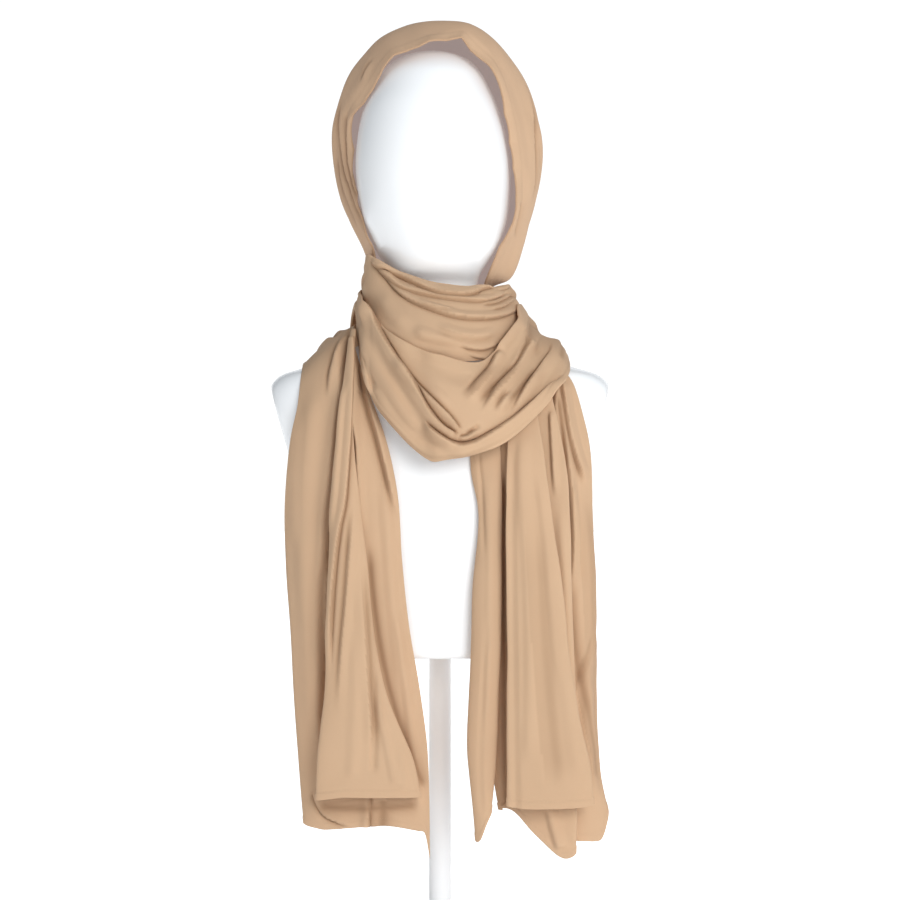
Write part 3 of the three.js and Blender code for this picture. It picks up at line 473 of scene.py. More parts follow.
def standMaterial():
    m = NodeSheet(bpy.data.materials.new("white powder coat"))
    where = m.node("TexCoord", output=3)
    peel = m.noise(where, *powderCoat["peelNoise"])
    wear = m.noise(where, *powderCoat["wearNoise"])
    bump = m.bump(peel, *powderCoat["bump"])
    return m.finish(m.node("BsdfPrincipled", {}, {
        "Base Color": m.mix(powderCoat["wearShare"] * wear, powderCoat["color"], powderCoat["worn"]),
        "Roughness": powderCoat["roughness"] + powderCoat["roughChange"] * wear, "Normal": bump}))


sand = jerseyMaterial("sand viscose jersey", jersey["light"], jersey["shade"], jersey["paintedCreaseShare"], 0)
sandReverse = jerseyMaterial("sand jersey, reverse side", jersey["light"], jersey["shade"],
                             jersey["reversePaintedCreaseShare"], 0)
# the same cloth with painted shade colours and a painted glow for the hood's inside
sandInside = jerseyMaterial("sand jersey inside, painted shade and glow", jersey["paintedInsideLight"],
                            jersey["paintedInsideShade"], jersey["paintedCreaseShare"], jersey["insidePaintedGlow"])
shell, powder = formMaterial(), standMaterial()
print("materials made")


formRows = np.array([      # height, middle, half, front, back, square
    (890, -8, 5, 4, 14, 2), (887, -8, 21, -13, 31, 2), (880, -8, 38, -33, 54, 2), (867, -9, 51, -53, 73, 2),
    (850, -9, 60, -66, 86, 2), (829, -9, 69, -78, 97, 2), (802, -8, 75, -88, 104, 2),
    (772, -7, 78, -93, 107, 2), (742, -6, 76, -91, 101, 2),
    (714, -5, 71, -86, 90, 2), (692, -4, 62, -79, 77, 2), (676, -5, 52, -71, 67, 2),
    (665, -7, 47, -60, 62, 2),
    (655, -8, 45.5, -42, 60, 2), (640, -8, 45, -37, 60, 2), (624, -6, 49, -40, 62, 2),
    (608, -3, 62, -47, 68, 2.1),
    (594, -1, 82, -54, 73, 2.2), (583, 0, 104, -60, 78, 2.3), (575, 0, 124, -64, 81, 2.4),
    (570, 0, 143, -68, 83, 2.5), (563, 0, 161, -71, 85, 2.6), (548, 0, 172, -76, 86, 2.6),
    (525, 0, 172, -82, 87, 2.6), (490, 0, 160, -88, 87, 2.5), (440, 0, 144, -90, 85, 2.4),
    (380, 0, 134, -87, 81, 2.3), (325, 0, 128, -82, 78, 2.3), (288, 0, 125, -79, 77, 2.3)], float)
form = {
    "levels": 120, "around": 112, "top": (-8, 9, 890.6), "underside": 288, "rimInsets": (1.5, 4, 30),
    "armTop": (556, 169), "armLow": (490, 150), "armHeights": (460, 575), "armRound": 2.0,
}


def buildForm():
    levels = curveWeights(len(formRows), np.linspace(0, len(formRows) - 1, form["levels"])) @ formRows
    turn = np.linspace(0, 2 * math.pi, form["around"], endpoint=False)
    height, middle, half, front, back, square = (levels[:, i][:, None] for i in range(6))
    power = 2 / square
    sine, cosine = np.sin(turn)[None], np.cos(turn)[None]
    side = np.sign(sine) * np.abs(sine) ** power * half
    (topHeight, topHalf), (lowHeight, lowHalf) = form["armTop"], form["armLow"]
    lowest, highest = form["armHeights"]
    flat = lowHalf + (height - lowHeight) * (topHalf - lowHalf) / (topHeight - lowHeight)
    flat = np.where((height < highest) & (height > lowest), flat, 1e6)
    small = form["armRound"]
    excess = np.maximum(np.abs(side) - flat + small, 0)
    short = flat - small + small * np.tanh(excess / small)
    x = np.sign(side) * np.where(excess > 0, short, np.abs(side)) + middle
    y = (back + front) / 2 - np.sign(cosine) * np.abs(cosine) ** power * (back - front) / 2
    grid = np.stack([x, y, np.broadcast_to(height, x.shape)], -1)
    centre = grid[-1].mean(0)
    away = grid[-1] - centre
    rim = np.stack([centre + away * (1 - inset / np.linalg.norm(away, axis=1, keepdims=True))
                    for inset in form["rimInsets"]])
    rim[..., 2] = form["underside"]
    ends = [np.broadcast_to(np.array(end, float), (1, len(turn), 3))
            for end in (form["top"], (0, 0, form["underside"]))]
    hardPiece("form_shell", np.concatenate([ends[0], grid, rim, ends[1]]), "form", shell)


standPlans = {      # radius and height of each turned outline
    "pole_tube": [(0, 12.3), (18.2, 12.3), (19, 13.1), (19, 25.2), (18.4, 26.4), (12.4, 29.2), (11.2, 30.6),
                  (11, 32.5), (11, 287.7), (0, 287.7)],
    "base_plate": [(0, 0), (131.5, 0), (134, 1.0), (135, 3.2), (135, 8.8), (134, 11), (131.5, 12), (0, 12)],
}


def turnedPiece(name, node, around):
    radius, height = np.array(standPlans[name], float).T[..., None]
    turn = np.linspace(0, 2 * math.pi, around, endpoint=False)
    grid = np.stack([radius * np.cos(turn), radius * np.sin(turn), np.repeat(height, around, 1)], -1)
    piece = hardPiece(name, grid, node, powder)
    piece.modifiers.new("even shading", "WEIGHTED_NORMAL").keep_sharp = True


buildForm()
turnedPiece("pole_tube", "stand_pole", 64)
turnedPiece("base_plate", "stand_base", 128)
print("form and stand made")


hoodRows = np.array([      # edge across, height, depth; outline across, height, depth
    (-10, 899, -52, -6, 915, 26), (22, 903, -45, 31, 909, 28), (48, 880, -40, 60, 890, 30),
    (61, 843, -36, 86, 856, 32), (69, 798, -28, 100, 808, 32), (74, 756, -28, 99, 765, 32),
    (75, 728, -28, 91, 726, 30), (60, 692, -26, 83, 694, 28), (46, 660, -12, 70, 662, 34),
    (40, 646, 40, 50, 664, 70), (-6, 640, 70, -4, 672, 92), (-54, 646, 42, -60, 668, 66),
    (-60, 662, -2, -69, 674, 32), (-68, 695, -26, -77, 694, 24), (-80, 728, -18, -93, 727, 26),
    (-86, 765, -8, -103, 768, 30), (-87, 812, -8, -105, 815, 32), (-72, 847, -28, -93, 860, 32),
    (-49, 883, -46, -66, 893, 30), (-28, 892, -50, -36, 910, 28)], float)
hood = {
    "backCentre": (-5, 130, 782), "rings": [(0.88, 0.46), (0.62, 0.8), (0.32, 0.96)],  # size, way to the back
    "swell": 1.5, "swellAbove": [(3.5, 690, 760), (5, 850, 900)], "down": 340, "across": (50, 58),
    "foldDepth": 1.7, "crumple": (0.35, 46, 11), "flat": (0.34, 0.42),
    "faceCentre": (432, 150), "edgeReach": 16, "edgeEnds": 0.12, "edgeShade": 0.45, "frontDepth": 20,
}
hoodEdge = [(376, 252), (367, 236), (359, 207), (356, 185), (353.5, 150), (352.7, 115), (363.6, 103),
            (372.7, 88.6), (380, 75), (382.7, 68.6), (393.6, 55), (405.5, 51.4), (418, 46.5), (430, 40.5),
            (447, 40), (461.8, 36.8), (471, 49.5), (480, 57.7), (488, 66), (500, 94), (503.6, 114),
            (509, 143), (512.7, 168.6), (515.5, 183), (516.4, 197.7), (515.5, 210.5), (512.7, 223),
            (500, 246.8), (494.5, 254)]


def hoodRails():
    edge = fromFront(*hoodRows[:, :3].T)
    outline = fromFront(*hoodRows[:, 3:].T)
    centre = np.array(hood["backCentre"], float)
    half = (edge + outline) / 2
    away = half - np.stack([np.full(len(half), centre[0]), half[:, 1], np.full(len(half), centre[2])], -1)
    away /= np.linalg.norm(away, axis=1, keepdims=True)
    swell = hood["swell"]
    for more, low, high in hood["swellAbove"]:
        swell = swell + more * smoothStep(low, high, half[:, 2])
    rails = [edge, half + away * swell[:, None], outline]
    for size, back in hood["rings"]:
        ring = centre + (outline - centre) * size
        ring[:, 1] = outline[:, 1] + (centre[1] - outline[:, 1]) * back
        rails.append(ring)
    rails.append(np.broadcast_to(centre, outline.shape))
    return rails


# a fold: line in its view; rise, soft side's width, sharp side's width, groove (also how dark its painted
# crease shade is), lean, fade at both ends
hoodFolds = [
    fold([(344, 96), (341, 116), (342, 140), (346, 168), (355, 196), (369, 238)],
         1.2, 7, 2, 1.5, 0.5, (25, 14)),
    fold([(350, 112), (349, 132), (350, 158), (355, 182), (362, 206)], 1, 4, 1.8, 1.3, 0.4, (10, 16)),
    fold([(338, 150), (343, 184), (353, 212), (362, 234)], 0.5, 5, 2, 1.2, 0.2, (20, 16)),
    fold([(520, 72), (527, 90), (531, 106), (533, 124), (534, 150), (534, 178), (529, 206)],
         0.6, 10, 2, 1.5, 0.1, (24, 24), flip=True),
    fold([(519, 200), (517, 212), (514, 228), (513, 240)], 1, 4, 2, 1.4, 0.3, (8, 12), flip=True),
    ridge([(478, 52), (498, 84), (514, 130), (523, 190)], 1.6, 12),
    ridge([(372, 70), (356, 92), (346, 120)], 1.4, 10),
    fold([(374, 60), (367, 70), (363, 82)], 1, 5, 1.8, 1, 0.4, (8, 8)),
    ridge([(420, 28), (450, 24), (486, 34)], 0.8, 10),
    fold([(-70, 872), (-38, 828), (-16, 770), (6, 690)], 2.4, 22, 9, 0.6, 0.4, (40, 30), "back"),
    fold([(66, 866), (48, 800), (36, 740), (20, 684)], 2.4, 9, 20, 0, 0, (40, 30), "back"),
    fold([(-78, 812), (-58, 750), (-30, 684)], 2, 16, 8, 0.5, 0.3, (40, 20), "back"),
    fold([(84, 800), (66, 740), (38, 690)], 1.8, 8, 14, 0.5, 0, (40, 20), "back"),
    fold([(-20, 900), (-4, 850), (2, 800)], 2, 14, 8, 0, 0, (40, 40), "back"),
    fold([(-40, 720), (-14, 700), (14, 702), (44, 718)], 1.2, 9, 5, 0.4, 0.2, (20, 20), "back"),
    fold([(50, 850), (60, 780), (52, 700)], 1.4, 14, 9, 0.4, 0.4, (40, 30), "left"),
    fold([(16, 850), (26, 780), (30, 712)], 1, 12, 9, 0.2, 0, (40, 30), "left"),
    fold([(52, 846), (64, 776), (56, 700)], 1.4, 14, 9, 0.4, 0.4, (40, 30), "right"),
    fold([(10, 842), (30, 780), (36, 706)], 1, 12, 9, 0.2, 0, (40, 30), "right"),
]


def reachEdgeLine(grid):      # brings the front edge to the uneven line that it has in the drawing
    line, centre = fromDrawing(hoodEdge), fromDrawing([hood["faceCentre"]])[0]

    def turnAndSize(points):      # turn from straight down, clockwise, and distance
        off = points - centre
        return np.mod(np.arctan2(-off[:, 0], -off[:, 1]), 2 * math.pi), np.linalg.norm(off, axis=1)

    edge = placesIn("front", grid[:, 0])
    turn, size = turnAndSize(edge)
    lineTurn, lineSize = turnAndSize(line)
    wanted = np.interp(turn, lineTurn, lineSize)
    inFront = (turn > lineTurn[0]) & (turn < lineTurn[-1]) & (grid[:, 0, 1] < hood["frontDepth"])
    grow = np.where(inFront, wanted / size - 1, 0)
    blend = hood["edgeEnds"]
    begin, end = lineTurn[0], lineTurn[-1]
    ends = smoothStep(begin, begin + blend, turn) * smoothStep(end, end - blend, turn)
    move = (edge - centre) * (grow * ends)[:, None]
    share = 1 - smoothStep(0, hood["edgeReach"], runAcross(grid))
    moved = grid.copy()
    moved[..., 0] += share * move[:, 0][:, None]
    moved[..., 2] += share * move[:, 1][:, None]
    return moved


def buildHood():
    near, far = hood["across"]      # columns in front of the outline and behind it
    places = np.concatenate([np.linspace(0, 2, near, endpoint=False), np.linspace(2, 6, far)])
    grid = reachEdgeLine(gridOnRails(hoodRails(), hood["down"], places, True))
    grid, creaseShadePaint = layFolds(grid, hoodFolds, 1, True, hood["foldDepth"])
    grid = crumple(grid, 1, True, *hood["crumple"])
    grid[:, -1] = grid[:, -1].mean(0)
    rolled = rollEdge(grid, 1, cloth["edgeRoll"], cloth["edgeLayer"])
    extra = rolled.shape[1] - grid.shape[1]
    # the turned-under front edge is painted with an even shade along its whole length
    creaseShadePaint = np.pad(creaseShadePaint, ((0, 0), (extra, 0)), constant_values=hood["edgeShade"])
    piece = clothPiece("hood_cloth", rolled, True, True, creaseShadePaint)
    finishCloth(piece, "hood", sandInside, 1)


buildHood()
print("hood made")


chin = {      # each line: across, height, depth of its stations, from the front round the right
    "top": [(-4, 656.5, -66), (32, 652.5, -56), (58, 653.5, -32), (69, 654.5, 10), (60, 651, 56),
            (34, 648, 86), (-5, 650, 96), (-42, 654, 88), (-73, 668, 60), (-73.2, 679, 8), (-70, 684, -36),
            (-40, 666, -56)],
    "belly": [(-4, 640, -84), (34, 640, -72), (64, 640, -36), (77, 640, 10), (66, 630, 64), (38, 628, 92),
              (-5, 630, 102), (-46, 634, 92), (-70, 644, 62), (-77, 649, 10), (-73, 652, -44),
              (-42, 648, -74)],
    "low": [(-2, 606, -105), (40, 604, -92), (74, 614, -44), (84, 618, 10), (74, 616, 68), (44, 611, 94),
            (-4, 612, 102), (-50, 616, 94), (-73, 630, 64), (-75, 624, 10), (-73, 618, -48),
            (-46, 612, -89)],
    "bottom": [(0, 580, -99), (40, 580, -88), (72, 592, -46), (82, 604, 8), (76, 603, 70), (44, 598, 91),
               (-4, 598, 99), (-50, 602, 92), (-73, 614, 68), (-74, 606, 10), (-70, 598, -50),
               (-42, 586, -87)],
    "down": 320, "across": 84, "foldDepth": 1.7, "crumple": (0.3, 40, 23), "bottomRoll": 0,
    "flat": (0.095, 0.50),
}
chinFolds = [
    fold([(372, 259), (381.6, 267.6), (406, 278.8), (430.6, 290), (447, 294), (469, 294), (483.7, 288),
          (508, 282.4)], 2.2, 9, 1.6, 0.9, 0.8, (8, 14)),
    fold([(374, 262), (381.6, 269.6), (398, 285), (414, 291), (443, 297), (475.5, 300), (492, 298),
          (506, 292)], 1.8, 6, 1.5, 0.8, 0.7, (10, 10)),
    fold([(377, 266), (385.7, 275), (396, 288), (410, 299), (430.6, 308), (453, 315), (475.5, 317.5),
          (498, 316), (520, 309)], 2.4, 8, 1.7, 1, 0.9, (12, 10)),
    fold([(418, 302), (436, 308), (455, 311)], 1.2, 4, 1.4, 0.5, 0.4, (10, 10)),
    fold([(481, 303), (494, 302), (506, 297), (515, 291)], 1.6, 4, 1.4, 0.8, 0.5, (7, 5)),
    fold([(490, 309), (502, 306), (512, 300), (518, 296)], 1.6, 4, 1.4, 0.8, 0.5, (7, 5)),
    fold([(497, 290), (505, 288), (513, 284)], 1.4, 3.5, 1.3, 0.8, 0.4, (5, 5)),
    fold([(436, 326), (449, 331), (463, 335), (480, 336), (498, 331)], 1.6, 9, 5, 0.4, 0.3, (14, 14)),
    ridge([(412, 330), (436, 337), (466, 342)], 1.8, 9, (12, 20)),
    fold([(458, 343), (472, 347), (486, 347), (500, 341)], 1.3, 9, 3.4, 0.7, 0.4, (12, 10)),
    fold([(468, 353), (484, 357), (502, 356)], 1.2, 6, 3, 0.6, 0.4, (10, 8)),
    ridge([(380, 290), (392, 312), (412, 328)], 1.6, 12, (16, 16)),
    fold([(-66, 644), (-30, 634), (10, 630), (58, 640)], 2.4, 8, 2.6, 0.9, 0.8, (16, 16), "back"),
    fold([(-60, 624), (-20, 614), (20, 613), (62, 624)], 2.2, 8, 2.6, 0.9, 0.8, (16, 16), "back"),
    fold([(-58, 636), (-20, 640), (0, 638)], 1.4, 6, 3, 0.4, 0.4, (16, 16), "back"),
    fold([(-40, 664), (0, 656), (60, 646)], 1, 7, 4, 0.6, 0.2, (16, 16), "left"),
    fold([(-40, 640), (10, 636), (60, 628)], 1, 7, 4, 0.6, 0.2, (16, 16), "left"),
    fold([(-30, 648), (10, 646), (50, 640)], 0.7, 7, 4, 0.6, 0.2, (16, 16), "right"),
]

cowl = {
    "top": [(0, 584.5, -108), (42, 578, -98), (75, 615, -56), (77.5, 632, -26), (78, 635, 6), (79, 634, 66),
            (46, 630, 101), (-4, 626, 114), (-52, 632, 102), (-78, 642, 68), (-78.6, 649, 12),
            (-74.4, 640, -50), (-64, 619, -74), (-46, 604, -94), (-23, 592, -103)],
    "belly": [(6, 545, -124), (50, 552, -112), (90, 583, -66), (95, 600, -36), (97, 607, 8), (96, 606, 74),
              (54, 594, 108), (-4, 588, 118), (-56, 596, 108), (-82, 620, 74), (-82, 640, 13),
              (-79, 610, -64), (-67, 583, -88), (-47, 562, -104), (-20, 550, -117)],
    "low": [(8, 505, -130), (57, 519, -121), (99, 552, -88), (119, 586, -52), (119, 598, 8), (108, 582, 90),
            (60, 560, 111), (-4, 552, 116), (-60, 566, 111), (-86, 602, 82), (-84, 636, 14), (-79, 586, -77),
            (-67, 558, -96), (-49, 536, -110), (-17, 512, -122)],
    "bottom": [(8, 482, -124), (60, 496, -119), (102, 531, -99), (126, 562, -77), (127, 579, 8),
               (114, 558, 94), (62, 538, 110), (-4, 528, 108), (-62, 546, 108), (-88, 590, 84),
               (-84, 631, 14), (-77, 568, -81), (-65, 539, -97), (-48, 516, -108), (-14, 483, -119)],
    "down": 420, "across": 80, "foldDepth": 1.9, "crumple": (0.3, 40, 37), "bottomRoll": 1.0,
    "flat": (0.11, 0.62),
}
cowlFolds = [
    fold([(364, 292), (366, 299), (370.4, 312.4), (377.6, 327.8), (385.7, 342), (398, 362.4), (414.3, 387),
          (430.6, 413.5), (443, 427.8), (458, 437)], 3.4, 16, 2, 1.9, 1.2, (8, 8), flip=True),
    fold([(396, 358), (404, 370.6), (418.4, 387), (434.7, 403.3), (449, 417.6), (459, 430.8)],
         2.6, 9, 1.8, 1.5, 0.9, (16, 6), flip=True),
    fold([(424, 420), (432, 430), (445, 440), (459, 445.7), (473.5, 443.5), (490, 435), (510, 422.5),
          (525, 410.5), (540, 398), (555, 386), (563, 375)], 3, 12, 2.2, 2, 1.2, (14, 18), flip=True),
    fold([(459, 438), (467, 437), (478, 430)], 1.8, 5, 1.8, 1.2, 0.6, (3, 6), flip=True),
    fold([(466, 434), (474, 429), (480, 424)], -1.6, 4, 4, 0, 0, (5, 5)),
    fold([(523, 311), (514, 322.5), (507.5, 335), (500, 345), (497, 351)], 2.4, 10, 1.8, 1.3, 0.9, (22, 6)),
    fold([(501, 350), (493, 365), (485, 375), (475, 385), (462, 396)], 2.4, 10, 3.2, 1.1, 0.8, (8, 24)),
    # this fold and the two like it below paint broad wedges of shade beside their small ridges
    fold([(498, 366), (488, 380), (477, 392), (464, 402)], 1.2, 8, 6.5, 0.9, 0.3, (14, 16)),
    fold([(529, 322), (529.5, 342), (524, 355), (515, 370), (500, 386), (490, 400), (481, 414)],
         2.6, 11, 2.4, 1.3, 1, (30, 30)),
    fold([(521, 366), (509, 381), (496, 395), (484, 409)], 1.4, 9, 7, 1, 0.3, (16, 14)),
    fold([(550, 336), (552, 350), (546, 362.5), (535, 378), (527.5, 388), (520, 400), (510, 418)],
         2.6, 12, 2.6, 1.4, 1, (34, 34)),
    fold([(543, 370), (532, 384), (521, 398), (511, 410)], 1.4, 9, 6.5, 0.9, 0.3, (16, 14)),
    fold([(523, 340), (517, 356), (506, 372), (493, 386)], 1.4, 8, 6, 0, 0, (16, 16)),
    fold([(511, 392), (503, 402), (496, 414)], 1.8, 8, 3.4, 0.8, 0.6, (12, 12)),
    ridge([(540, 350), (534, 364), (520, 384), (505, 402), (490, 420)], 1.6, 9, (30, 25)),
    ridge([(366, 330), (372, 356), (388, 384), (404, 410), (424, 436)], 1.8, 12),
    ridge([(372, 386), (392, 416), (420, 446), (450, 453), (480, 448)], 1.4, 8),
    fold([(360, 352), (366, 372), (376, 392)], -1.4, 6, 6, 0, 0, (12, 12)),
    ridge([(420, 380), (440, 396), (456, 414)], 1.2, 8),
    ridge([(402, 346), (430, 362), (456, 374), (480, 378)], -1.6, 14),
    fold([(-74, 618), (-30, 592), (20, 588), (70, 606)], 3.6, 14, 3, 1.2, 1.2, (20, 20), "back"),
    fold([(-60, 586), (-10, 566), (40, 572), (92, 596)], 3.2, 12, 3, 1.2, 1.2, (20, 20), "back"),
    fold([(-20, 612), (20, 606), (60, 622)], 2.2, 8, 3, 0.8, 0.8, (16, 16), "back"),
    fold([(20, 628), (60, 606), (100, 590)], 2.2, 8, 3, 0.8, 0.8, (16, 16), "back"),
    fold([(-60, 604), (0, 622), (60, 616)], 0.8, 10, 7, 0.6, 0.2, (14, 14), "right"),
    fold([(-66, 586), (-10, 602), (70, 592)], 0.8, 10, 7, 0.6, 0.2, (14, 14), "right"),
    fold([(-70, 610), (-50, 634), (0, 648)], 1.6, 6, 3, 0.6, 0.6, (14, 14), "left"),
]


def buildRing(name, node, plan, folds):
    rails = [fromFront(*np.array(plan[key], float).T) for key in ("top", "belly", "low", "bottom")]
    grid = gridOnRails(rails, plan["down"], plan["across"], True)
    grid, creaseShadePaint = layFolds(grid, folds, -1, True, plan["foldDepth"])
    grid = crumple(grid, -1, True, *plan["crumple"])
    wide = grid.shape[1]
    grid = rollEdge(grid, -1, cloth["edgeRoll"], cloth["edgeLayer"])
    before = grid.shape[1] - wide
    if plan["bottomRoll"]:
        grid = rollEdge(grid, -1, plan["bottomRoll"], cloth["bottomLayer"], atStart=False)
    creaseShadePaint = np.pad(creaseShadePaint, ((0, 0), (before, grid.shape[1] - wide - before)))
    piece = clothPiece(name, grid, True, False, creaseShadePaint)
    finishCloth(piece, node, sandReverse, -1)


buildRing("chin_wrap_cloth", "chin_wrap", chin, chinFolds)
buildRing("cowl_cloth", "cowl", cowl, cowlFolds)
print("rings made")


tailTurn = {"least": 2.5, "start": 430, "full": 350, "inward": 0.45}  # free edges turned back, deeper below
hemSeam = {"row": 7.4, "wide": 0.9, "fold": (6.6, 8.4), "thicker": 0.55, "pulledIn": 0.45}


def tailRails(rows, outerTurn, innerTurn):
    # a row: outer edge's across, height, depth; inner edge's; bulge to the front; rise between the edges
    rows = np.array([row if len(row) == 8 else row + (0,) for row in rows], float)
    outer = fromFront(rows[:, 0], rows[:, 1], rows[:, 2])
    inner = fromFront(rows[:, 3], rows[:, 4], rows[:, 5])

    def turnedIn(edge, other, deep):
        away = other - edge
        away /= np.linalg.norm(away, axis=1, keepdims=True)
        grown = 1 - smoothStep(tailTurn["full"], tailTurn["start"], edge[:, 2])
        depth = (tailTurn["least"] + (deep - tailTurn["least"]) * grown)[:, None]
        return edge + away * depth * tailTurn["inward"] + np.array([0, 1, 0]) * depth

    def between(part):
        line = outer + (inner - outer) * part
        line[:, 1] -= rows[:, 6]
        line[:, 2] += rows[:, 7]
        return line

    rails = [outer, between(0.3), between(0.7), inner]
    if outerTurn:
        rails.insert(0, turnedIn(outer, inner, outerTurn))
    if innerTurn:
        rails.append(turnedIn(inner, outer, innerTurn))
    return rails


def shapeHem(grid, hem, blend):      # lowers the last level to the hem's own line
    columns = grid.shape[1]
    drop = curveWeights(len(hem), np.linspace(0, len(hem) - 1, columns)) @ np.array(hem, float)
    share = smoothStep(1 - blend, 1, np.linspace(0, 1, len(grid)))
    shaped = grid.copy()
    shaped[..., 2] -= share[:, None] * drop[None]
    return shaped


def buildTail(node, plan, folds, outward):
    grid = gridOnRails(tailRails(plan["rows"], *plan["turns"]), plan["down"], plan["across"], False)
    grid = shapeHem(grid, plan["hem"], plan["blend"])
    grid, creaseShadePaint = layFolds(grid, folds, outward, False, plan["foldDepth"])
    grid = crumple(grid, outward, False, *plan["crumple"])
    fall = np.linalg.norm(np.diff(grid, axis=0), axis=-1)
    toHem = np.concatenate([np.cumsum(fall[::-1], 0)[::-1], np.zeros((1, grid.shape[1]))], 0)
    seam = np.exp(-((toHem - hemSeam["row"]) / hemSeam["wide"]) ** 2)  # pulled in at the stitches
    band = 1 - smoothStep(*hemSeam["fold"], toHem)  # thicker below them
    lift = hemSeam["thicker"] * band - hemSeam["pulledIn"] * seam
    grid = grid + gridNormals(grid, False) * outward * lift[..., None]
    piece = clothPiece(node + "_cloth", grid, False, False, creaseShadePaint, toHem)
    finishCloth(piece, node, sandReverse, outward)


leftBack = {
    "rows": [(-64, 564, 96, -54, 590, 90, -2), (-98, 561, 90, -71, 594, 76, -4),
             (-128, 573, 52, -80, 606, 44, -3, 5), (-135, 577, 6, -84.5, 615, 6, 0, 3),
             (-137, 568, -42.5, -85, 604, -48, 0, 3), (-141, 534, -66, -74, 556, -74, 5, 2),
             (-149, 485, -74, -54, 500, -91, 10), (-153, 430, -72, -42, 440, -96, 12),
             (-153, 375, -72, -38, 380, -96, 12), (-149, 315, -72, -31, 315, -92, 11),
             (-146, 255, -72, -21, 255, -88, 10), (-141, 185, -70, -12, 185, -84, 10),
             (-135, 119, -70, -10, 112, -82, 10)],
    "turns": (26, 0), "hem": [0, 0, 0, 0.5, 1, 2.5, 4, 5, 6, 5, 4, 2.5, 1, 0, -1, -1, 0, 1.5, 3, 6, 30],
    "blend": 0.1, "down": 290, "across": 112,
    "foldDepth": 1.6, "crumple": (0.35, 52, 41), "flat": (0.16, 0.62),
}
leftBackFolds = [
    fold([(355, 326), (354, 338), (352, 354), (351, 395), (350, 414), (345, 450), (339, 480)],
         3.4, 12, 3, 1.4, 0.8, (3, 20)),
    fold([(350, 322), (344, 350), (344, 387), (339, 424), (334, 475), (328, 515), (325.5, 562), (323, 586),
          (323, 640), (324, 700), (325, 760)], -4.2, 6, 7, 0, 0, (10, 40)),
    fold([(357, 330), (356, 356), (354, 383), (353, 413), (357, 444), (359, 485), (362, 540)],
         3, 8, 2.6, 1.2, 0.7, (4, 40)),
    fold([(358, 326), (362, 356), (365, 383), (371, 411), (378, 436), (388, 475), (398, 520)],
         3, 10, 4, 1, 0.6, (4, 40)),
    fold([(349, 327), (341, 346), (333, 372), (328, 400)], 2.4, 9, 4, 0.8, 0.5, (4, 30)),
    fold([(352, 326), (347, 356), (345, 376)], 2, 6, 2.4, 0.8, 0.5, (4, 20)),
    ridge([(318, 380), (308, 440), (304, 520), (308, 620), (314, 740)], 2.2, 14, (40, 40)),
    ridge([(300, 400), (294, 470), (294, 560)], 1.4, 10, (40, 40)),
    fold([(356, 391), (362, 393), (368, 398)], 1, 3, 1.6, 0.5, 0.3, (4, 4)),
    ridge([(383, 470), (388, 540), (394, 620), (404, 700)], 1.6, 9, (40, 40)),
    ridge([(396, 600), (408, 700), (416, 780), (424, 820)], 1.4, 7, (40, 30)),
    fold([(352, 520), (349, 600), (352, 700)], -2.0, 10, 10, 0, 0, (40, 40)),
    fold([(368, 780), (368, 806), (367, 832)], 2.2, 9, 2, 1.4, 0.5, (2, 1), flip=True),
    fold([(314, 792), (319, 806), (326, 815), (338, 821), (352, 826)], 1.6, 7, 2, 1.2, 0.4, (4, 16)),
    fold([(349, 325), (344, 352), (343, 394), (337, 425), (332, 475), (327, 525), (324, 581), (323, 640),
          (321, 720)], 1.6, 12, 3.6, 2.2, 0.4, (4, 70), flip=True),
    # painted shadows: these three barely rise and mostly darken the back layer beside the front layer's edge
    # and under its hem, over a shallow groove
    fold([(362, 540), (367, 600), (376, 660), (390, 715), (406, 757), (418, 790)],
         0.4, 4, 6, 1.1, 0, (30, 8), flip=True),
    fold([(318, 797), (350, 799), (384, 799), (418, 796)], 0.3, 5, 9, 0.9, 0, (8, 8)),
    fold([(370, 799), (370, 815), (369, 834)], 0.3, 3, 13, 0.9, 0, (2, 2), flip=True),
    fold([(90, 566), (56, 584), (20, 596), (-20, 600)], 2.2, 8, 4, 0.6, 0.5, (20, 20), "left"),
    fold([(70, 590), (30, 604), (-10, 608)], 1.8, 8, 4, 0.6, 0.5, (20, 20), "left"),
]
leftFront = {
    "rows": [(-88, 611, -48, -84.8, 611, -52, 1), (-93, 581, -70.5, -86, 581, -72.5, 1.2),
             (-97, 555, -85, -86.5, 555, -87, 1), (-103, 500, -104.5, -87, 500, -104.5, 2),
             (-109, 430, -109.5, -80, 430, -110, 4.5), (-111, 365, -110.5, -72, 365, -111, 5.5),
             (-113, 300, -109.5, -66, 300, -109.5, 5), (-115.5, 240, -107.5, -52, 240, -107.5, 5),
             (-121, 185, -104.5, -30, 185, -103.5, 5), (-123, 142, -102.5, -21, 146, -100.5, 5)],
    "turns": (10, 10), "hem": [-3, 2, 2, 0, 1, 2, 3, 2, -3], "blend": 0.1, "down": 285, "across": 84,
    "foldDepth": 1.1, "crumple": (0.35, 52, 43), "flat": (0.075, 0.48),
}
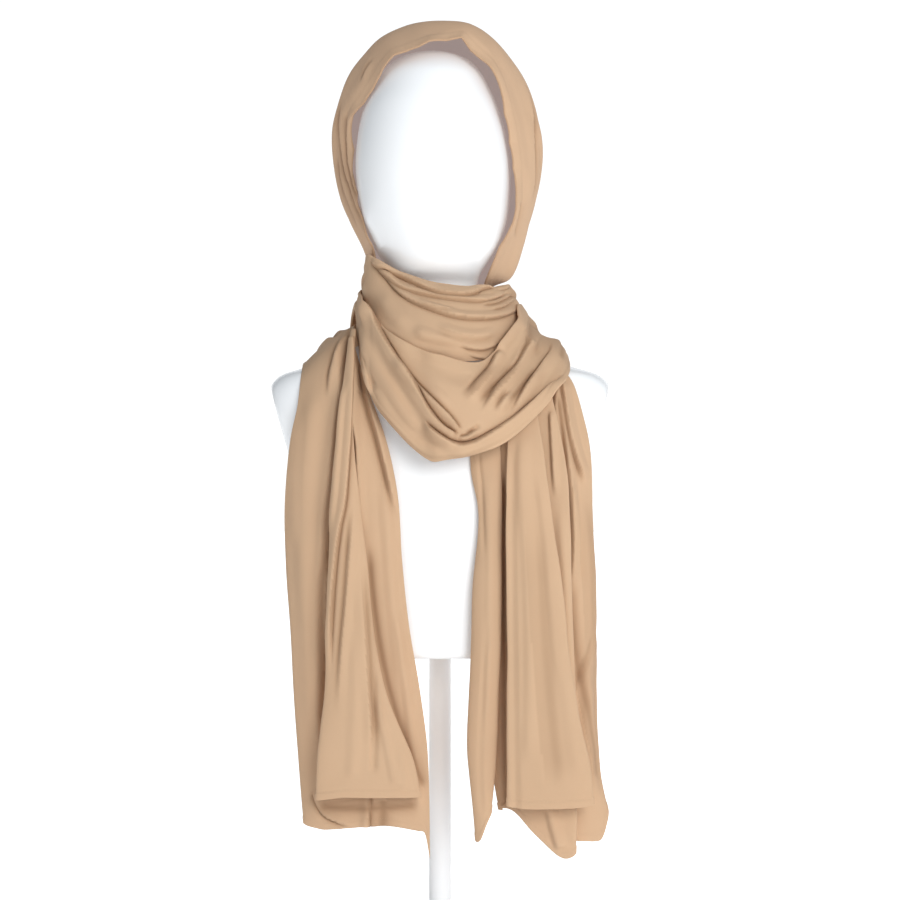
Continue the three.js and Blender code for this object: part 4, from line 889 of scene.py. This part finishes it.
leftFrontFolds = [
    fold([(353, 336), (352, 378), (350, 420), (348, 450), (344, 500), (338, 531), (333, 575), (330, 620),
          (329, 680)], 2.6, 8, 2.4, 1.5, 0.8, (4, 60), flip=True),
    ridge([(346, 380), (341, 409), (338, 450), (334, 500), (330, 540)], 1.8, 5, (20, 30)),
    fold([(354, 500), (350, 560), (346, 610), (341, 670), (338, 720)], 1.8, 9, 4, 0.8, 0.4, (50, 80)),
    fold([(360, 560), (364, 640), (368, 700), (373, 760)], 1.8, 10, 5, 0.7, 0.3, (60, 40), flip=True),
    fold([(372, 660), (374, 690), (374, 730), (373, 775)], -2.8, 6, 5, 0, 0, (30, 10)),
    fold([(372, 676), (379, 710), (388, 750), (396, 788)], 2, 8, 6, 0, 0, (30, 10)),
    ridge([(356, 620), (356, 700), (352, 780)], 1.6, 10, (40, 10)),
    ridge([(398, 740), (402, 770), (404, 792)], 1.2, 8, (20, 6)),
]
rightOuter = {
    "rows": [(62, 556, 96, 50, 582, 89, -2), (96, 560, 88, 71, 586, 77, -3),
             (114, 580, 48, 86, 593, 48, -1, 2), (115, 584, 6, 86, 599, 6, 0),
             (118, 575, -42.5, 86, 587, -48, 0), (134, 552, -63, 92, 552, -76, 1),
             (149, 490, -72, 104, 490, -85, 5), (152, 420, -72, 108, 420, -88, 8),
             (156, 350, -70, 112, 350, -87, 8), (156, 290, -68, 114, 290, -84, 8),
             (157, 230, -66, 116, 230, -80, 8), (160, 170, -64, 118, 170, -78, 8),
             (168, 134, -62, 120, 110, -76, 8)],
    "turns": (26, 0), "hem": [0, 0, 2, 14, 27, 26, 22, 18, 14, 12, 10],
    "blend": 0.1, "down": 285, "across": 74, "foldDepth": 1.6, "crumple": (0.35, 52, 47),
    "flat": (0.07, 0.60),
}
rightOuterFolds = [
    fold([(560, 372), (556, 400), (556, 424), (557, 460), (568, 490), (570, 530)],
         3, 9, 3, 1.2, 0.7, (10, 40)),
    fold([(562, 380), (568, 420), (574, 448), (586, 485)], 2.6, 9, 2.6, 1, 0.6, (10, 20)),
    fold([(560, 392), (566, 440), (572, 500), (573, 560), (566, 600)], 2.4, 8, 3, 0.9, 0.5, (14, 30)),
    ridge([(584, 500), (588, 580), (588, 660), (584, 740)], 2.2, 10, (40, 40)),
    fold([(597, 628), (589, 655), (579, 682), (573, 706), (571, 740)], 1.2, 10, 5, 0.5, 0.4, (20, 40)),
    # painted shade: this fold and the next barely rise and mostly darken strips of the cloth
    fold([(553, 470), (561, 560), (567, 630), (576, 690), (586, 740), (592, 782)],
         0.3, 4, 5, 0.7, 0, (30, 10), flip=True),
    fold([(576, 480), (581, 600), (585, 700), (590, 800)], 0.3, 8, 10, 0.35, 0, (60, 30), flip=True),
    ridge([(576, 560), (580, 640), (588, 720), (592, 800)], 2, 9, (40, 20)),
    fold([(90, 570), (50, 590), (10, 596), (-30, 590)], 2.2, 8, 4, 0.6, 0.5, (20, 20), "right"),
]
rightBack = {
    "rows": [(108, 556, -79, 66, 550, -84, 0), (124, 480, -98, 60, 480, -91, 1.2),
             (128, 420, -102.5, 54, 420, -90, 2.8), (131, 350, -103, 53, 350, -89, 2.8),
             (133, 290, -101, 53, 290, -86, 2.8), (135, 230, -98, 53, 230, -82, 3.3),
             (136, 170, -95, 54, 170, -78, 3.3), (135, 92, -92, 60, 130, -76, 3.3)],
    "turns": (10, 8), "hem": [0, 4, 15.5, 7, -6, 0, 0], "blend": 0.1, "down": 255, "across": 72,
    "foldDepth": 1.6, "crumple": (0.35, 52, 53), "flat": (0.085, 0.46),
}
rightBackFolds = [
    fold([(545, 790), (552, 820), (560, 850)], 3.2, 12, 6, 0, 0, (14, 6)),
    ridge([(560, 500), (566, 600), (568, 700)], 1.6, 8, (40, 40)),
    fold([(551, 410), (553, 450), (556, 500)], 2, 6, 2.6, 0.8, 0.5, (8, 30)),
    # a small groove with strong painted shade beside it along the front panel's edge
    fold([(508, 470), (508, 600), (509, 700), (510, 806)], 0.3, 3, 5, 1.8, 0, (20, 3)),
]
rightFront = {
    "rows": [(96, 530, -92, 69, 530, -94, 0), (104, 480, -108, 68, 480, -106, 1),
             (111, 425, -114, 67, 425, -113, 2), (122, 350, -115, 67, 350, -114, 3),
             (128, 290, -114, 68, 290, -113, 4), (137, 230, -112, 68, 230, -111, 4),
             (148, 180, -110, 68, 180, -109, 4), (153, 143, -108, 68, 143, -107, 4)],
    "turns": (10, 10), "hem": [1, 7, 10, 11, 11, 8, 1], "blend": 0.1, "down": 255, "across": 72,
    "foldDepth": 0.8, "crumple": (0.35, 52, 59), "flat": (0.07, 0.41),
}
rightFrontFolds = [
    fold([(522, 430), (523, 500), (528, 580), (530, 680), (528, 770)], 2.2, 12, 8, 0, 0, (20, 30)),
    fold([(538, 470), (546, 540), (552, 610), (560, 700)], 2, 10, 6, 0, 0, (30, 40)),
    ridge([(560, 640), (570, 720), (578, 780)], 1.6, 9, (40, 20)),
    fold([(513, 440), (512, 520), (513, 640), (516, 820)], -2.2, 7, 7, 0, 0, (30, 10)),
    ridge([(540, 640), (546, 720), (552, 790)], -1.2, 12, (40, 10)),
    # painted shade: barely rises and mostly darkens a broad strip of the panel
    fold([(524, 500), (530, 620), (538, 720), (546, 790)], 0.3, 10, 14, 0.4, 0, (80, 30), flip=True),
]
strip = {
    "rows": [(58, 520, -88.6, 30, 520, -88.6, 1), (60.5, 470, -95.6, 32, 470, -92.6, 3),
             (61.5, 425, -98.6, 39, 425, -95.6, 4), (61, 354, -99.6, 33, 354, -95.6, 5),
             (60, 300, -98.6, 32, 300, -93.6, 5), (58, 241, -95.6, 29, 241, -90.6, 5),
             (56, 185, -90.6, 28, 185, -87.6, 5), (51, 130, -88.6, 36, 126, -85.6, 4)],
    "turns": (5, 10), "hem": [0, 2, 12, 26, 24, 8], "blend": 0.12, "down": 255, "across": 44,
    "foldDepth": 0.8, "crumple": (0.3, 52, 61), "flat": (0.045, 0.42),
}
stripFolds = [
    fold([(478, 448), (480, 470), (482, 495), (484, 560)], -1.8, 4, 4, 0, 0, (10, 30)),
    ridge([(488, 470), (490, 560), (488, 660), (486, 740)], 1.4, 6, (30, 40)),
    fold([(490, 600), (484, 680), (480, 760), (482, 820)], -1.2, 5, 5, 0, 0, (40, 20)),
]

buildTail("left_tail_back", leftBack, leftBackFolds, 1)
buildTail("left_tail_front", leftFront, leftFrontFolds, 1)
buildTail("right_tail_outer", rightOuter, rightOuterFolds, -1)
buildTail("right_tail_back", rightBack, rightBackFolds, -1)
buildTail("right_tail_front", rightFront, rightFrontFolds, -1)
buildTail("right_tail_strip", strip, stripFolds, -1)
print("tails made")


studio = {
    "floorSize": 12.0, "floor": [(0.93, 0.93, 0.93, 1), (0.90, 0.90, 0.90, 1)], "floorGlow": 1.0,
    "nearFloor": (0.35, 0.35, 0.35, 1), "glowFrom": -0.3, "glowOver": 0.45,
    "floorNoise": (3, 2, 0.5), "floorChange": 0.3, "floorRoughness": 0.8, "floorSpecular": 0.1,
    "fill": 0.36, "right": 0.02, "front": 0.26, "above": -0.02, "backdrop": 1.0,
    "ahead": 0.8, "aheadOver": 0.16, "overhead": (0.80, 0.90, 1.0, 1), "overheadRate": 1.4,
    "key": (1.0, -2.2, 1.2), "keyAim": (0, 0, 0.55), "keyPower": 39, "keySize": 1.3,
    "sensor": 36, "lens": 96, "clip": (0.05, 30),
}
white = (1, 1, 1, 1)


def buildFloor():
    size = studio["floorSize"]
    corners = np.array([(-size, -size, 0), (size, -size, 0), (size, size, 0), (-size, size, 0)]) / mm
    floor, data = addPiece("floor", corners, [(0, 1, 2, 3)])
    m = NodeSheet(bpy.data.materials.new("pale floor"))
    where = m.node("TexCoord", output=3)
    color = m.mix(studio["floorChange"] * m.noise(where, *studio["floorNoise"]), *studio["floor"])
    behind = ((m.part(where, 1) - studio["glowFrom"]) / studio["glowOver"]).share()
    data.materials.append(m.finish(m.node("BsdfPrincipled", {}, {
        "Base Color": color, "Roughness": studio["floorRoughness"],
        "Specular IOR Level": studio["floorSpecular"],
        "Emission Color": m.mix(behind, studio["nearFloor"], white),
        "Emission Strength": studio["floorGlow"]})))


def buildWorld():
    m = NodeSheet(bpy.data.worlds.new("white studio"))
    direction = m.node("TexCoord", output=0)
    x, y, z = (m.part(direction, axis) for axis in range(3))
    ahead = ((y - studio["ahead"]) / studio["aheadOver"]).share()
    strength = studio["fill"] + studio["right"] * x - studio["front"] * y + studio["above"] * z
    strength = strength + studio["backdrop"] * ahead
    color = m.mix((z * studio["overheadRate"]).share(), white, studio["overhead"])
    shader = m.node("Background", {}, {"Color": color, "Strength": strength})
    bpy.context.scene.world = m.finish(shader, "OutputWorld")


def buildLightAndCamera():
    light = bpy.data.lights.new("key softbox", "AREA")
    light.energy, light.size = studio["keyPower"], studio["keySize"]
    lamp = addObject("key softbox", light)
    lamp.location = Vector(studio["key"])
    lamp.rotation_euler = (Vector(studio["keyAim"]) - lamp.location).to_track_quat("-Z", "Y").to_euler()
    lens = bpy.data.cameras.new("front camera")
    lens.sensor_width, lens.lens = studio["sensor"], studio["lens"]
    lens.clip_start, lens.clip_end = studio["clip"]
    camera = addObject("front camera", lens)
    camera.location = (eye["across"] * mm, -eye["distance"] * mm, eye["height"] * mm)
    camera.rotation_euler = (math.radians(90), 0, 0)
    bpy.context.scene.camera = camera
    bpy.context.scene.view_settings.view_transform = "Standard"


buildFloor()
buildWorld()
buildLightAndCamera()
print("studio made")
